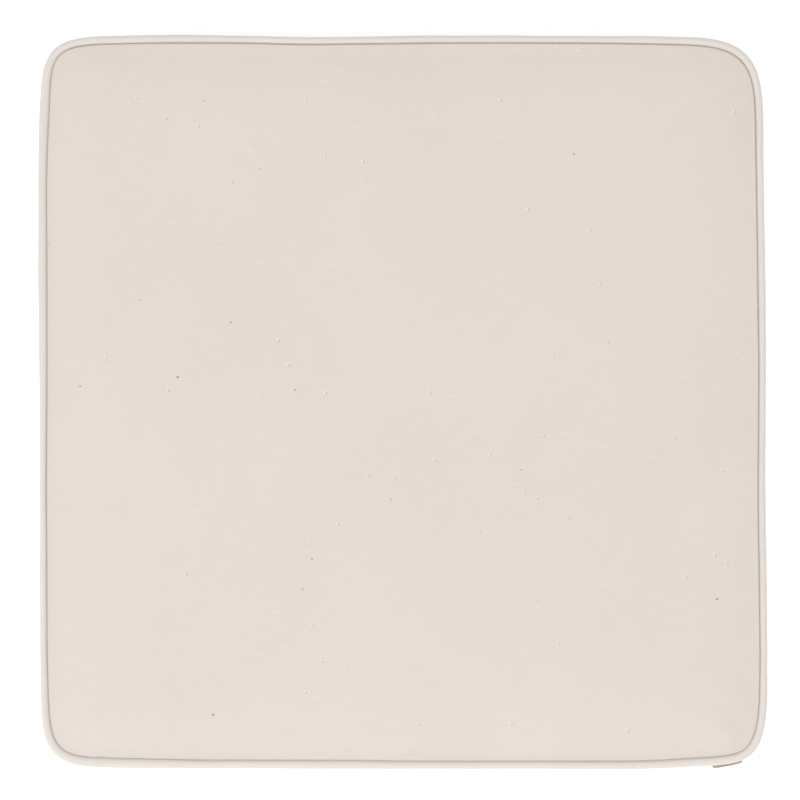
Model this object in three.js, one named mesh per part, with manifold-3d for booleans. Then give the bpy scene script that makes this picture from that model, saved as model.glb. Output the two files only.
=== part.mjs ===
// A boxed seat pad in unbleached canvas: a foam block between two sheets of wadding, in a removable
// cover of top panel, bottom panel and boxing strip, with self-fabric piping sewn into both edges,
// a coil zip in the back and a small plain leather tab in the lower seam.
//
// Millimetres. +Z up, -Y the front edge, origin in the middle of the underside.
import * as THREE from 'three';
import { LoftGeometry } from 'three/addons/geometries/LoftGeometry.js';
import { RoundedBoxGeometry } from 'three/addons/geometries/RoundedBoxGeometry.js';
import { mergeVertices } from 'three/addons/utils/BufferGeometryUtils.js';
import Module from 'manifold-3d';

const wasm = await Module();
wasm.setup();

// The made-up pad, measured over its piping.
const PAD_WIDTH = 446;
const PAD_DEPTH = 450;
const PAD_HEIGHT = 50;
const CORNER_REACH = 60; // length of side that a soft corner takes up
const CORNER_EXPONENT = 4.3; // 2 would be a round corner, more is squarer
const CORNER_STEPS = 8;

// Cloth and seams.
const CLOTH = 0.6;
const GAP = 0.3; // air between two layers that lie on each other
const SEAM_ALLOWANCE = 10;
const SEAM_DROP = 5; // from a face of the pad to the level of its seam
const CROWN_ROLL = 10; // width of the roll from a face down to its seam
const ROLL_STEPS = 5;
const SIDE_BULGE = 1.5; // how far the filling pushes the boxing out at mid-height
const BULGE_STEPS = 6;

// Piping: a cord in a folded strip of the cover's cloth.
const PIPING_DIAMETER = 5;
const PIPING_TO_SEAM = 0.2; // from the piping's inner edge to the seam line
const PIPING_ARC_STEPS = 4; // per half turn
const CORD_SIDES = 8;

// Zip: the two zip panels, their tapes and coils, and the stops.
const ZIP_TO_CORNER = 3; // from a zip panel's end to where the corner starts
const CHAIN_MARGIN = 5; // from a zip panel's end to the end of the chain
const TAPE_OVERRUN = 5; // tape that runs on past a zip panel's end
const TAPE_THICKNESS = 0.5;
const COIL_WIDTH = 2.1;
const COIL_THICKNESS = 2.4;
const COIL_PARTING = 1.8; // between the two coils, where their teeth mesh
const COIL_ROUND = 0.5;
const TOP_STOP_LENGTH = 3;
const BOTTOM_STOP_LENGTH = 4;
const STOP_ROUND = 0.4;

// Zip slider, with the lug that its pull hangs in.
const SLIDER_LENGTH = 12;
const SLIDER_WIDTH = 9;
const SLIDER_TAPER = 0.5; // how much narrower each side is at the tail
const SLIDER_SHOULDER = 2.4;
const SLIDER_TO_FOLD = 0.5; // free room between the slider and each folded edge
const PLATE_THICKNESS = 1;
const PLATE_BEVEL = 0.2;
const POST_WIDTH = 1;
const POST_LENGTH = 4;
const POST_FROM_NOSE = 0.8;
const LUG_LENGTH = 8;
const LUG_WIDTH = 1.6;
const LUG_THICKNESS = 0.9;

// Zip pull.
const PULL_LENGTH = 24;
const PULL_WIDTH = 6.5;
const PULL_WAIST = 5;
const PULL_THICKNESS = 1.2;
const PULL_BEVEL = 0.25;
const EYE_CLEARANCE = 0.5; // between the eye and the lug

// Leather tab in the lower seam at the front right.
const TAB_WIDTH = 19;
const TAB_TO_SIDE = 19.2; // from its middle to the pad's right side
const TAB_THICKNESS = 0.9;
const TAB_REACH = 5; // past the lower piping
const TAB_LEAN = THREE.MathUtils.degToRad(7); // how steeply its free end hangs
const TAB_STEPS = 5;

// Levels and insets that follow from those. An inset is measured inwards from the pad's outline,
// at right angles to it, and a drop is measured from a seam's level towards the pad's middle.
const halfWidth = PAD_WIDTH / 2;
const halfDepth = PAD_DEPTH / 2;
const midHeight = PAD_HEIGHT / 2;
const seamLevel = PAD_HEIGHT - SEAM_DROP;
const pipingRadius = PIPING_DIAMETER / 2;
const seamInset = PIPING_DIAMETER + PIPING_TO_SEAM;
const allowanceInset = seamInset + SEAM_ALLOWANCE;
const legFace = GAP / 2 + CLOTH; // outer face of a piping leg
const allowanceFace = legFace + GAP; // face of the next layer of the seam
const allowanceBack = allowanceFace + CLOTH;
const panelEdge = seamLevel + allowanceFace;
const boxingEdge = seamLevel - allowanceFace;
const boxingInside = seamLevel - allowanceBack;
const foamTop = boxingInside - GAP;
const foamInset = seamInset + CLOTH + GAP;

const zipPanelHalf = halfWidth - CORNER_REACH - ZIP_TO_CORNER;
const chainHalf = zipPanelHalf - CHAIN_MARGIN;
const hemInset = seamInset + CLOTH + GAP;
const tapeInset = hemInset + CLOTH + GAP;
const chainInset = tapeInset + TAPE_THICKNESS / 2;
const coilInner = COIL_PARTING / 2;
const coilOuter = coilInner + COIL_WIDTH;
const mouthHalf = SLIDER_WIDTH / 2 + SLIDER_TO_FOLD;
const plateInside = COIL_THICKNESS / 2 + GAP;
const plateOutside = plateInside + PLATE_THICKNESS;
const pullCentre = plateOutside + GAP + PULL_THICKNESS / 2;
const sliderClosed = chainHalf - TOP_STOP_LENGTH - GAP - SLIDER_LENGTH / 2;

// ---------------------------------------------------------------- solids

function solidOf(geometry) {
  const bare = new THREE.BufferGeometry().copy(geometry);
  bare.deleteAttribute('normal');
  bare.deleteAttribute('uv');
  const merged = mergeVertices(bare);
  const vertProperties = new Float32Array(merged.attributes.position.array);
  const triVerts = new Uint32Array(merged.index.array);
  return new wasm.Manifold(new wasm.Mesh({ numProp: 3, vertProperties, triVerts }));
}

function geometryOf(solid) {
  const mesh = solid.getMesh();
  const geometry = new THREE.BufferGeometry();
  geometry.setAttribute('position', new THREE.BufferAttribute(mesh.vertProperties, 3));
  geometry.setIndex(new THREE.BufferAttribute(mesh.triVerts, 1));
  geometry.computeVertexNormals();
  return geometry;
}

function cut(geometry, ...cutters) {
  return geometryOf(cutters.reduce((solid, cutter) => solid.subtract(solidOf(cutter)), solidOf(geometry)));
}

function join(first, ...others) {
  return geometryOf(others.reduce((solid, other) => solid.add(solidOf(other)), solidOf(first)));
}

function box(from, to) {
  const size = new THREE.Vector3().subVectors(to, from);
  const middle = new THREE.Vector3().addVectors(from, to).multiplyScalar(0.5);
  return new THREE.BoxGeometry(size.x, size.y, size.z).translate(middle.x, middle.y, middle.z);
}

// A plate from z = 0 to its thickness, with both faces bevelled inside the shape's outline.
function plate(shape, thickness, bevel) {
  return new THREE.ExtrudeGeometry(shape, {
    depth: thickness - 2 * bevel,
    bevelThickness: bevel,
    bevelSize: bevel,
    bevelOffset: -bevel,
    bevelSegments: 1,
    curveSegments: 3,
  }).translate(0, 0, bevel);
}

// ---------------------------------------------------------------- the pad's outline

// A station is a point of the outline with the direction that faces out of the pad there.
function station(x, y, angle) {
  return { x, y, outX: Math.cos(angle), outY: Math.sin(angle) };
}

// The corners are superellipse quarters of CORNER_REACH, and `turn` is how far the outward
// direction has turned from the first side's, from 0 to a right angle.
function cornerStation(quarter, turn) {
  const ratio = Math.tan(turn) ** (1 / (CORNER_EXPONENT - 1));
  const across = CORNER_REACH * (1 + ratio ** CORNER_EXPONENT) ** (-1 / CORNER_EXPONENT);
  const angle = (quarter * Math.PI) / 2;
  const local = new THREE.Vector2(across, across * ratio).rotateAround(new THREE.Vector2(), angle);
  const centreX = (quarter === 0 || quarter === 3 ? 1 : -1) * (halfWidth - CORNER_REACH);
  const centreY = (quarter < 2 ? 1 : -1) * (halfDepth - CORNER_REACH);
  return station(centreX + local.x, centreY + local.y, angle + turn);
}

// The turns are closest together near the sides, where the corner is flattest.
function cornerTurns() {
  return Array.from({ length: CORNER_STEPS + 1 }, (_, i) => {
    const spread = (i / CORNER_STEPS) * (Math.PI / 2);
    return i === CORNER_STEPS ? Math.PI / 2 : Math.atan(Math.tan(spread) ** 1.5);
  });
}

// All the way round, counter-clockwise from above, from the right side's back end.
const outline = [0, 1, 2, 3].flatMap((quarter) => cornerTurns().map((turn) => cornerStation(quarter, turn)));

// The station at a given x on the back (side 1) or the front (side -1).
function stationAt(x, side) {
  const along = Math.abs(x) - (halfWidth - CORNER_REACH);
  if (along <= 0) return station(x, side * halfDepth, (side * Math.PI) / 2);
  const across = (CORNER_REACH ** CORNER_EXPONENT - along ** CORNER_EXPONENT) ** (1 / CORNER_EXPONENT);
  const turn = Math.atan((along / across) ** (CORNER_EXPONENT - 1));
  const angle = (side * Math.PI) / 2 - side * Math.sign(x) * turn;
  return station(x, side * (halfDepth - CORNER_REACH + across), angle);
}

function place(at, inset, z) {
  return new THREE.Vector3(at.x - inset * at.outX, at.y - inset * at.outY, z);
}

// A solid filled right across the pad, from levels of [inset, z] listed from its lowest up.
function stack(levels) {
  const rings = levels.map(([inset, z]) => outline.map((at) => place(at, inset, z)));
  return new LoftGeometry(rings, { capStart: true, capEnd: true });
}

// A section of [inset, z] points, counter-clockwise, carried along stations.
function sweep(sectionAt, stations) {
  const sections = stations.map((at) => sectionAt(at).map(([inset, z]) => place(at, inset, z)));
  return new LoftGeometry(sections, { capStart: true, capEnd: true });
}

// The same, closed on itself all round the pad.
function band(section) {
  const sections = [...outline, outline[0]].map((at) => section.map(([inset, z]) => place(at, inset, z)));
  return new LoftGeometry(sections);
}

function alongBack(section, fromX, toX) {
  return sweep(() => section, [stationAt(toX, 1), stationAt(fromX, 1)]);
}

// Points of [inset, z], turned over to the other face of the pad.
function turnedOver(points) {
  return points.map(([inset, z]) => [inset, PAD_HEIGHT - z]).reverse();
}

function sectionOf(path, arcSteps) {
  return path.getPoints(arcSteps).map((point) => [point.x, point.y]);
}

function rectangle(insetFrom, insetTo, zFrom, zTo, round) {
  const path = new THREE.Path();
  const quarter = Math.PI / 2;
  path.absarc(insetTo - round, zTo - round, round, 0, quarter);
  path.absarc(insetFrom + round, zTo - round, round, quarter, 2 * quarter);
  path.absarc(insetFrom + round, zFrom + round, round, 2 * quarter, 3 * quarter);
  path.absarc(insetTo - round, zFrom + round, round, 3 * quarter, 4 * quarter);
  return sectionOf(path, 1);
}

// ---------------------------------------------------------------- filling

// The roll of the seat face from `floor` up to its flat, `depth` inside the cover's outer surface.
function crown(depth, floor) {
  const width = CROWN_ROLL - depth;
  const rise = PAD_HEIGHT - panelEdge - depth;
  const start = Math.asin((floor - panelEdge) / rise);
  return Array.from({ length: ROLL_STEPS + 1 }, (_, i) => {
    const angle = THREE.MathUtils.lerp(start, Math.PI / 2, i / ROLL_STEPS);
    return [seamInset + CROWN_ROLL - width * Math.cos(angle), panelEdge + rise * Math.sin(angle)];
  });
}

// Cut away behind the tapes, and further behind the slider, so that neither is squeezed.
function zipReliefs() {
  const half = zipPanelHalf + TAPE_OVERRUN + GAP;
  const tapeBack = halfDepth - tapeInset - TAPE_THICKNESS - GAP;
  const sliderBack = halfDepth - chainInset - plateOutside - GAP;
  return [
    box(new THREE.Vector3(-half, tapeBack, 0), new THREE.Vector3(half, halfDepth, PAD_HEIGHT)),
    box(
      new THREE.Vector3(-half, sliderBack, midHeight - mouthHalf),
      new THREE.Vector3(half, halfDepth, midHeight + mouthHalf),
    ),
  ];
}

function foamCore() {
  const block = stack([[foamInset, PAD_HEIGHT - foamTop], [foamInset, foamTop]]);
  return cut(block, ...zipReliefs(), tabRoom());
}

// Wadding fills the crown, and lies on the foam inside the ring of seam allowances.
function waddingTop() {
  const inside = allowanceInset + GAP;
  const floor = panelEdge + CLOTH + GAP;
  return [[inside, foamTop + GAP], [inside, floor], ...crown(CLOTH + GAP, floor)];
}

// ---------------------------------------------------------------- cover

// A crowned sheet with its seam allowance turned in underneath.
function panel(turn) {
  const outer = crown(0, panelEdge);
  const inner = crown(CLOTH, panelEdge + CLOTH);
  const mouth = [[allowanceInset, panelEdge - CLOTH], [allowanceInset, panelEdge + 2 * CLOTH]];
  return cut(stack(turn(outer)), stack(turn(inner)), stack(turn(mouth)));
}

function boxingSection(at) {
  const bulge = SIDE_BULGE * (1 - Math.max(0, at.outY)); // the zip holds the back flat
  const face = (edge, inset) =>
    Array.from({ length: BULGE_STEPS + 1 }, (_, i) => {
      const height = THREE.MathUtils.lerp(1, -1, i / BULGE_STEPS);
      return [inset - bulge * (1 - height ** 2), midHeight + height * (edge - midHeight)];
    });
  return [
    [allowanceInset, boxingEdge],
    ...face(boxingEdge, seamInset),
    [allowanceInset, PAD_HEIGHT - boxingEdge],
    [allowanceInset, PAD_HEIGHT - boxingInside],
    ...face(boxingInside, seamInset + CLOTH).reverse(),
    [allowanceInset, boxingInside],
  ];
}

// From the left end of the zip panels round the sides and the front to their right end.
function boxingStrip() {
  const end = zipPanelHalf + GAP;
  const round = [...outline.slice(CORNER_STEPS + 1), ...outline.slice(0, CORNER_STEPS + 1)];
  const strip = sweep(boxingSection, [stationAt(-end, 1), ...round, stationAt(end, 1)]);
  return cut(strip, tabRoom());
}

// Hangs from the upper seam and is folded under at the mouth of the zip.
function zipPanelSection() {
  const fold = midHeight + mouthHalf;
  const hemTop = boxingInside - GAP;
  return [
    [allowanceInset, boxingEdge],
    [seamInset, boxingEdge],
    [seamInset, fold],
    [hemInset + CLOTH, fold],
    [hemInset + CLOTH, hemTop],
    [hemInset, hemTop],
    [hemInset, fold + CLOTH],
    [seamInset + CLOTH, fold + CLOTH],
    [seamInset + CLOTH, boxingInside],
    [allowanceInset, boxingInside],
  ];
}

// ---------------------------------------------------------------- piping

// A strip wrapped round the cord, with both edges running on into the seam.
function pipingCoverSection() {
  const inner = pipingRadius - CLOTH;
  const outerTurn = Math.asin(legFace / pipingRadius);
  const innerTurn = Math.asin(GAP / 2 / inner);
  const path = new THREE.Path();
  path.absarc(pipingRadius, seamLevel, pipingRadius, outerTurn, 2 * Math.PI - outerTurn);
  path.lineTo(allowanceInset, seamLevel - legFace);
  path.lineTo(allowanceInset, seamLevel - GAP / 2);
  path.absarc(pipingRadius, seamLevel, inner, -innerTurn, innerTurn, true);
  path.lineTo(allowanceInset, seamLevel + GAP / 2);
  path.lineTo(allowanceInset, seamLevel + legFace);
  return sectionOf(path, PIPING_ARC_STEPS);
}

function pipingCordSection() {
  const radius = pipingRadius - CLOTH - GAP;
  const path = new THREE.Path();
  path.absarc(pipingRadius, seamLevel, radius, 0, 2 * Math.PI);
  return sectionOf(path, CORD_SIDES / 2).slice(0, -1);
}

// ---------------------------------------------------------------- leather tab

// Sewn in over the lower piping's legs, it bends up round the piping and then hangs outwards.
// `grown` is added all round for the room that it needs.
function tabSection(grown) {
  const level = PAD_HEIGHT - seamLevel;
  const under = pipingRadius + GAP - grown;
  const over = pipingRadius + GAP + TAB_THICKNESS + grown;
  const underLevel = allowanceFace - grown;
  const overLevel = allowanceFace + TAB_THICKNESS + grown;
  const crest = Math.PI / 2 + TAB_LEAN;
  const freeEnd = (radius) => {
    const arcEnd = pipingRadius + radius * Math.cos(crest);
    const reach = arcEnd + TAB_REACH + grown;
    return [-TAB_REACH - grown, level + radius * Math.sin(crest) - reach * Math.tan(TAB_LEAN)];
  };
  const path = new THREE.Path();
  path.moveTo(allowanceInset + grown, level + overLevel);
  const overStart = Math.asin(overLevel / over);
  path.lineTo(pipingRadius + over * Math.cos(overStart), level + overLevel);
  path.absarc(pipingRadius, level, over, overStart, crest);
  path.lineTo(...freeEnd(over));
  path.lineTo(...freeEnd(under));
  path.absarc(pipingRadius, level, under, crest, Math.asin(underLevel / under), true);
  path.lineTo(allowanceInset + grown, level + underLevel);
  return sectionOf(path, 2);
}

function tabAlong(grown) {
  const middle = halfWidth - TAB_TO_SIDE;
  const half = TAB_WIDTH / 2 + grown;
  const section = tabSection(grown);
  const stations = Array.from({ length: TAB_STEPS + 1 }, (_, i) =>
    stationAt(middle + THREE.MathUtils.lerp(-half, half, i / TAB_STEPS), -1));
  return sweep(() => section, stations);
}

function tabRoom() {
  return tabAlong(GAP);
}

// ---------------------------------------------------------------- zip

function coilSection() {
  const inset = chainInset - COIL_THICKNESS / 2;
  return rectangle(inset, inset + COIL_THICKNESS, midHeight + coilInner, midHeight + coilOuter, COIL_ROUND);
}

function tapeSection() {
  const lowest = midHeight + coilOuter + GAP;
  const highest = boxingInside - GAP;
  return [
    [tapeInset + TAPE_THICKNESS, lowest],
    [tapeInset + TAPE_THICKNESS, highest],
    [tapeInset, highest],
    [tapeInset, lowest],
  ];
}

// A clamp across one coil's width, or across both, with its outer end at x = end.
function stop(length, end, zFrom, zTo) {
  const middle = end - (Math.sign(end) * length) / 2;
  return new RoundedBoxGeometry(length, COIL_THICKNESS, zTo - zFrom, 1, STOP_ROUND)
    .translate(middle, halfDepth - chainInset, midHeight + (zFrom + zTo) / 2);
}

// The slider and its pull are made about the middle of the chain, with +X the closing direction
// and +Y out of the pad, and a shape's own x and y are then the pad's X and Z.
function standUp(geometry, outerFace) {
  return geometry.rotateX(Math.PI / 2).translate(0, outerFace, 0);
}

// Widest at the nose, where the coils enter, and narrower at the tail.
function sliderShape() {
  const nose = SLIDER_LENGTH / 2;
  const wide = SLIDER_WIDTH / 2;
  const tail = wide - SLIDER_TAPER;
  const shape = new THREE.Shape();
  shape.moveTo(-nose, tail - 1);
  shape.lineTo(-nose, 1 - tail);
  shape.quadraticCurveTo(-nose, -tail, 1 - nose, -tail);
  shape.lineTo(nose - SLIDER_SHOULDER, -wide);
  shape.quadraticCurveTo(nose, -wide, nose, SLIDER_SHOULDER - wide);
  shape.lineTo(nose, wide - SLIDER_SHOULDER);
  shape.quadraticCurveTo(nose, wide, nose - SLIDER_SHOULDER, wide);
  shape.lineTo(1 - nose, tail);
  shape.quadraticCurveTo(-nose, tail, -nose, tail - 1);
  return shape;
}

// One plate with its two rims, and between them the channel that the coils run in.
function sliderHalf() {
  const rimEdge = TAPE_THICKNESS / 2 + GAP;
  const body = standUp(plate(sliderShape(), plateOutside - rimEdge, PLATE_BEVEL), plateOutside);
  const channel = coilOuter + GAP;
  return cut(body, box(
    new THREE.Vector3(-SLIDER_LENGTH, 0, -channel),
    new THREE.Vector3(SLIDER_LENGTH, plateInside, channel),
  ));
}

// The wedge at the nose that parts the coils, and joins the two plates.
function sliderPost() {
  const front = SLIDER_LENGTH / 2 - POST_FROM_NOSE;
  const widest = front - POST_LENGTH / 4;
  const shape = new THREE.Shape();
  shape.moveTo(front, 0);
  shape.lineTo(widest, POST_WIDTH / 2);
  shape.lineTo(front - POST_LENGTH, 0);
  shape.lineTo(widest, -POST_WIDTH / 2);
  const end = (plateInside + plateOutside) / 2;
  return standUp(plate(shape, 2 * end, 0), end);
}

// A bridge along the slider, high enough inside for the pull's crossbar.
function sliderLug() {
  const foot = (plateInside + plateOutside) / 2;
  const half = LUG_LENGTH / 2;
  const room = PULL_THICKNESS + 2 * GAP;
  const shape = new THREE.Shape();
  shape.moveTo(-half, foot);
  shape.lineTo(half, foot);
  shape.lineTo(half, plateOutside + room / 2);
  shape.absellipse(0, plateOutside + room / 2, half, room / 2 + LUG_THICKNESS, 0, Math.PI);
  const opening = new THREE.Path();
  const inner = half - LUG_THICKNESS;
  opening.moveTo(-inner, plateOutside);
  opening.lineTo(inner, plateOutside);
  opening.lineTo(inner, plateOutside + room / 3);
  opening.absellipse(0, plateOutside + room / 3, inner, (2 * room) / 3, 0, Math.PI);
  shape.holes.push(opening);
  return plate(shape, LUG_WIDTH, 0).translate(0, 0, -LUG_WIDTH / 2);
}

function slider() {
  const outer = sliderHalf();
  const inner = sliderHalf().rotateX(Math.PI);
  return join(outer, inner, sliderPost(), sliderLug());
}

// A flat tongue that lies towards the open end, with an eye round the slider's lug.
function pull() {
  const bar = PULL_THICKNESS / 2;
  const wide = PULL_WIDTH / 2;
  const waist = PULL_WAIST / 2;
  const eyeEnd = bar - PULL_THICKNESS - (LUG_LENGTH / 2 + EYE_CLEARANCE - bar);
  const tip = bar - PULL_LENGTH;
  const shape = new THREE.Shape();
  shape.moveTo(bar, wide - 1);
  shape.quadraticCurveTo(bar, wide, bar - 1, wide);
  shape.lineTo(eyeEnd, wide);
  shape.bezierCurveTo(eyeEnd - 4, wide, eyeEnd - 4, waist, eyeEnd - 7, waist);
  shape.lineTo(tip + 3 * waist, waist);
  shape.bezierCurveTo(tip + waist, wide, tip, wide, tip, 0);
  shape.bezierCurveTo(tip, -wide, tip + waist, -wide, tip + 3 * waist, -waist);
  shape.lineTo(eyeEnd - 7, -waist);
  shape.bezierCurveTo(eyeEnd - 4, -waist, eyeEnd - 4, -wide, eyeEnd, -wide);
  shape.lineTo(bar - 1, -wide);
  shape.quadraticCurveTo(bar, -wide, bar, 1 - wide);
  const eyeHalf = LUG_WIDTH / 2 + EYE_CLEARANCE;
  const eye = new THREE.Path();
  eye.moveTo(-bar, -eyeHalf);
  eye.lineTo(-bar, eyeHalf);
  eye.lineTo(eyeEnd, eyeHalf);
  eye.lineTo(eyeEnd, -eyeHalf);
  shape.holes.push(eye);
  return standUp(plate(shape, PULL_THICKNESS, PULL_BEVEL), pullCentre + PULL_THICKNESS / 2);
}

// ---------------------------------------------------------------- materials

function finish(color, roughness, metalness = 0) {
  return new THREE.MeshStandardMaterial({ color, roughness, metalness });
}

const canvas = () => finish(0xe5dbd2, 0.95);
const pipingCanvas = () => finish(0xe7e0da, 0.95);
const cottonCord = () => finish(0xefe9df, 1);
const foam = () => finish(0xe9dcb4, 0.9);
const wadding = () => finish(0xf4f2ee, 1);
const zipTape = () => finish(0xe2d9cf, 0.85);
const nylon = () => finish(0xd8cfc4, 0.45);
const nickel = () => finish(0xb8b5ae, 0.35, 1);
const leather = () => finish(0xbda99e, 0.7);

// ---------------------------------------------------------------- the pad

const pad = new THREE.Group();

function add(parent, name, geometry, material) {
  const mesh = new THREE.Mesh(geometry, material);
  mesh.name = name;
  parent.add(mesh);
}

function addFilling() {
  add(pad, 'foam_core', foamCore(), foam());
  add(pad, 'wadding_top', stack(waddingTop()), wadding());
  add(pad, 'wadding_bottom', stack(turnedOver(waddingTop())), wadding());
}

function addCover() {
  add(pad, 'top_panel', panel((levels) => levels), canvas());
  add(pad, 'bottom_panel', panel(turnedOver), canvas());
  add(pad, 'boxing_strip', boxingStrip(), canvas());
  add(pad, 'zip_panel_upper', alongBack(zipPanelSection(), -zipPanelHalf, zipPanelHalf), canvas());
  add(pad, 'zip_panel_lower', alongBack(turnedOver(zipPanelSection()), -zipPanelHalf, zipPanelHalf), canvas());
  add(pad, 'leather_tab', tabAlong(0), leather());
}

function addPiping() {
  add(pad, 'piping_cover_top', band(pipingCoverSection()), pipingCanvas());
  add(pad, 'piping_cord_top', band(pipingCordSection()), cottonCord());
  add(pad, 'piping_cover_bottom', band(turnedOver(pipingCoverSection())), pipingCanvas());
  add(pad, 'piping_cord_bottom', band(turnedOver(pipingCordSection())), cottonCord());
}

function addZip() {
  const tapeHalf = zipPanelHalf + TAPE_OVERRUN;
  const coilFrom = BOTTOM_STOP_LENGTH + GAP - chainHalf;
  const coilTo = chainHalf - TOP_STOP_LENGTH - GAP;
  add(pad, 'zip_tape_upper', alongBack(tapeSection(), -tapeHalf, tapeHalf), zipTape());
  add(pad, 'zip_tape_lower', alongBack(turnedOver(tapeSection()), -tapeHalf, tapeHalf), zipTape());
  add(pad, 'zip_coil_upper', alongBack(coilSection(), coilFrom, coilTo), nylon());
  add(pad, 'zip_coil_lower', alongBack(turnedOver(coilSection()), coilFrom, coilTo), nylon());
  add(pad, 'zip_top_stop_upper', stop(TOP_STOP_LENGTH, chainHalf, coilInner, coilOuter), nickel());
  add(pad, 'zip_top_stop_lower', stop(TOP_STOP_LENGTH, chainHalf, -coilOuter, -coilInner), nickel());
  add(pad, 'zip_bottom_stop', stop(BOTTOM_STOP_LENGTH, -chainHalf, -coilOuter, coilOuter), nickel());
}

function addSlider() {
  const runner = new THREE.Group();
  runner.position.set(sliderClosed, halfDepth - chainInset, midHeight);
  add(runner, 'zip_slider', slider(), nickel());
  add(runner, 'zip_pull', pull(), nickel());
  pad.add(runner);
}

addFilling();
addCover();
addPiping();
addZip();
addSlider();

export default pad;
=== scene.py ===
"""A square box-edged seat pad: piped seams, a zip across the back and a leather tab in the lower seam.

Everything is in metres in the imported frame: +Z up, the underside on z = 0, the front at -Y, the zip at +Y.
The cover is pressed out by a cloth simulation, and each sheet is then cut, folded and sewn to that shape.
"""

import logging
import math
from collections.abc import Callable, Sequence
from dataclasses import dataclass, field
from enum import Enum

import bmesh
import bpy
import numpy as np
from mathutils import Matrix, Vector, kdtree, noise


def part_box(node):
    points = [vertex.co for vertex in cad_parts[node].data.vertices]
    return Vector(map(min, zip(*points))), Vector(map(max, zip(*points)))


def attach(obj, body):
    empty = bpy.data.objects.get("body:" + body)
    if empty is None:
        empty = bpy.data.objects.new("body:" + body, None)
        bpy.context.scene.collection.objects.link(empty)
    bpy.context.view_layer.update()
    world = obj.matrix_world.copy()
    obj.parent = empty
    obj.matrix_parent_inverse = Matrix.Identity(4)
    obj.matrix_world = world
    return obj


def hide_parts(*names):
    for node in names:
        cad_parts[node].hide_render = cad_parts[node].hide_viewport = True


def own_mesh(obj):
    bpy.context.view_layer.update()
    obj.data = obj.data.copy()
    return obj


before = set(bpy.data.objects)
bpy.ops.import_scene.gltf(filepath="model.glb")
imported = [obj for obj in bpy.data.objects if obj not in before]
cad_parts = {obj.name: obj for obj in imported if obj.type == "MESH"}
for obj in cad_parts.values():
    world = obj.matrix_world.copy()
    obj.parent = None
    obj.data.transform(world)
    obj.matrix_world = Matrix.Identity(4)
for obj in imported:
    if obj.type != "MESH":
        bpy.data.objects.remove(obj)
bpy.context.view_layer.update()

log = logging.getLogger("seat_pad")

MM = 0.001
CLOTH = 0.6 * MM

Socket = bpy.types.NodeSocket
Piece = bpy.types.Object
Plan = Callable[[np.ndarray, np.ndarray], np.ndarray]
Colour = tuple[float, float, float]


class Side(Enum):
    """The pad's four sides, by the outline number at which each begins, from the front right corner round."""

    RIGHT = 0
    BACK = 1
    LEFT = 2
    FRONT = 3


class Facing(Enum):
    """Which way a panel looks, as the sign of its outward direction."""

    UP = 1
    DOWN = -1


# ---------------------------------------------------------------- small mesh helpers


def finish_mesh(bm: bmesh.types.BMesh, name: str, merge: float = 0.0) -> Piece:
    """Turn a bmesh into a smooth-shaded object at the origin.

    Args:
        bm: The mesh being built; it is freed.
        name: The piece's name.
        merge: Vertices closer than this are joined first.

    Returns:
        The new object, linked to the scene.
    """
    if merge:
        bmesh.ops.remove_doubles(bm, verts=bm.verts, dist=merge)
    for face in bm.faces:
        face.smooth = True
    mesh = bpy.data.meshes.new(name)
    bm.to_mesh(mesh)
    bm.free()
    piece = bpy.data.objects.new(name, mesh)
    bpy.context.scene.collection.objects.link(piece)
    return piece


def add_grid(bm: bmesh.types.BMesh, points: np.ndarray, threads: np.ndarray | None = None,
             shade_and_dark_edges: np.ndarray | None = None, flip: bool = False) -> list[bmesh.types.BMVert]:
    """Lay a grid of cells onto given points.

    Args:
        bm: The mesh to add to.
        points: Places of the grid's knots, shaped (columns + 1, rows + 1, 3).
        threads: Cloth coordinates in metres of the same knots, shaped (columns + 1, rows + 1, 2).
        shade_and_dark_edges: How much painted shade and edge darkening the knots take, 0 to 1, shaped (columns +
            1, rows + 1).
        flip: Whether the cells face the other way.

    Returns:
        The grid's vertices.
    """
    columns, rows = points.shape[0] - 1, points.shape[1] - 1
    if threads is not None:
        layer = bm.loops.layers.uv.get("threads") or bm.loops.layers.uv.new("threads")
    if shade_and_dark_edges is not None:
        darkening_layer = bm.verts.layers.float.get("shade_and_dark_edges") or bm.verts.layers.float.new("shade_and_dark_edges")
    made = bmesh.ops.create_grid(bm, x_segments=columns, y_segments=rows, size=1.0)["verts"]
    knots = {v: (round((v.co.x + 1) / 2 * columns), round((v.co.y + 1) / 2 * rows)) for v in made}
    faces = list({f for v in made for f in v.link_faces})
    if threads is not None:
        for face in faces:
            for loop in face.loops:
                loop[layer].uv = threads[knots[loop.vert]]
    for vert, knot in knots.items():
        vert.co = points[knot]
    if shade_and_dark_edges is not None:
        for vert, knot in knots.items():
            vert[darkening_layer] = float(shade_and_dark_edges[knot])
    if flip:
        bmesh.ops.reverse_faces(bm, faces=faces)
    return made


def thicken(piece: Piece, thickness: float, offset: float = -1.0) -> None:
    """Give a sheet its thickness with a Solidify modifier."""
    wall = piece.modifiers.new("thickness", "SOLIDIFY")
    wall.thickness = thickness
    wall.offset = offset


def smoothstep(x: np.ndarray | float, low: float, high: float) -> np.ndarray:
    """Zero below low, one above high and a smooth turn in between."""
    t = np.clip((np.asarray(x, float) - low) / (high - low), 0.0, 1.0)
    return t * t * (3 - 2 * t)


def path_length(path: np.ndarray) -> np.ndarray:
    """Running length along a line of points."""
    return np.concatenate([[0.0], np.cumsum(np.linalg.norm(np.diff(path, axis=0), axis=1))])


def bell(away: np.ndarray, width: float) -> np.ndarray:
    """One where away is zero, dying down over a width on both sides."""
    return np.exp(-((away / width) ** 2))


def knot_numbers(columns: int, rows: int) -> tuple[np.ndarray, np.ndarray]:
    """The column number and the row number of every knot of a grid, each shaped (columns, rows)."""
    return np.meshgrid(np.arange(columns), np.arange(rows), indexing="ij")


def raised(plan: np.ndarray, height: np.ndarray) -> np.ndarray:
    """Points in plan, each given its height."""
    return np.concatenate([plan, height[..., None]], -1)


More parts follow.
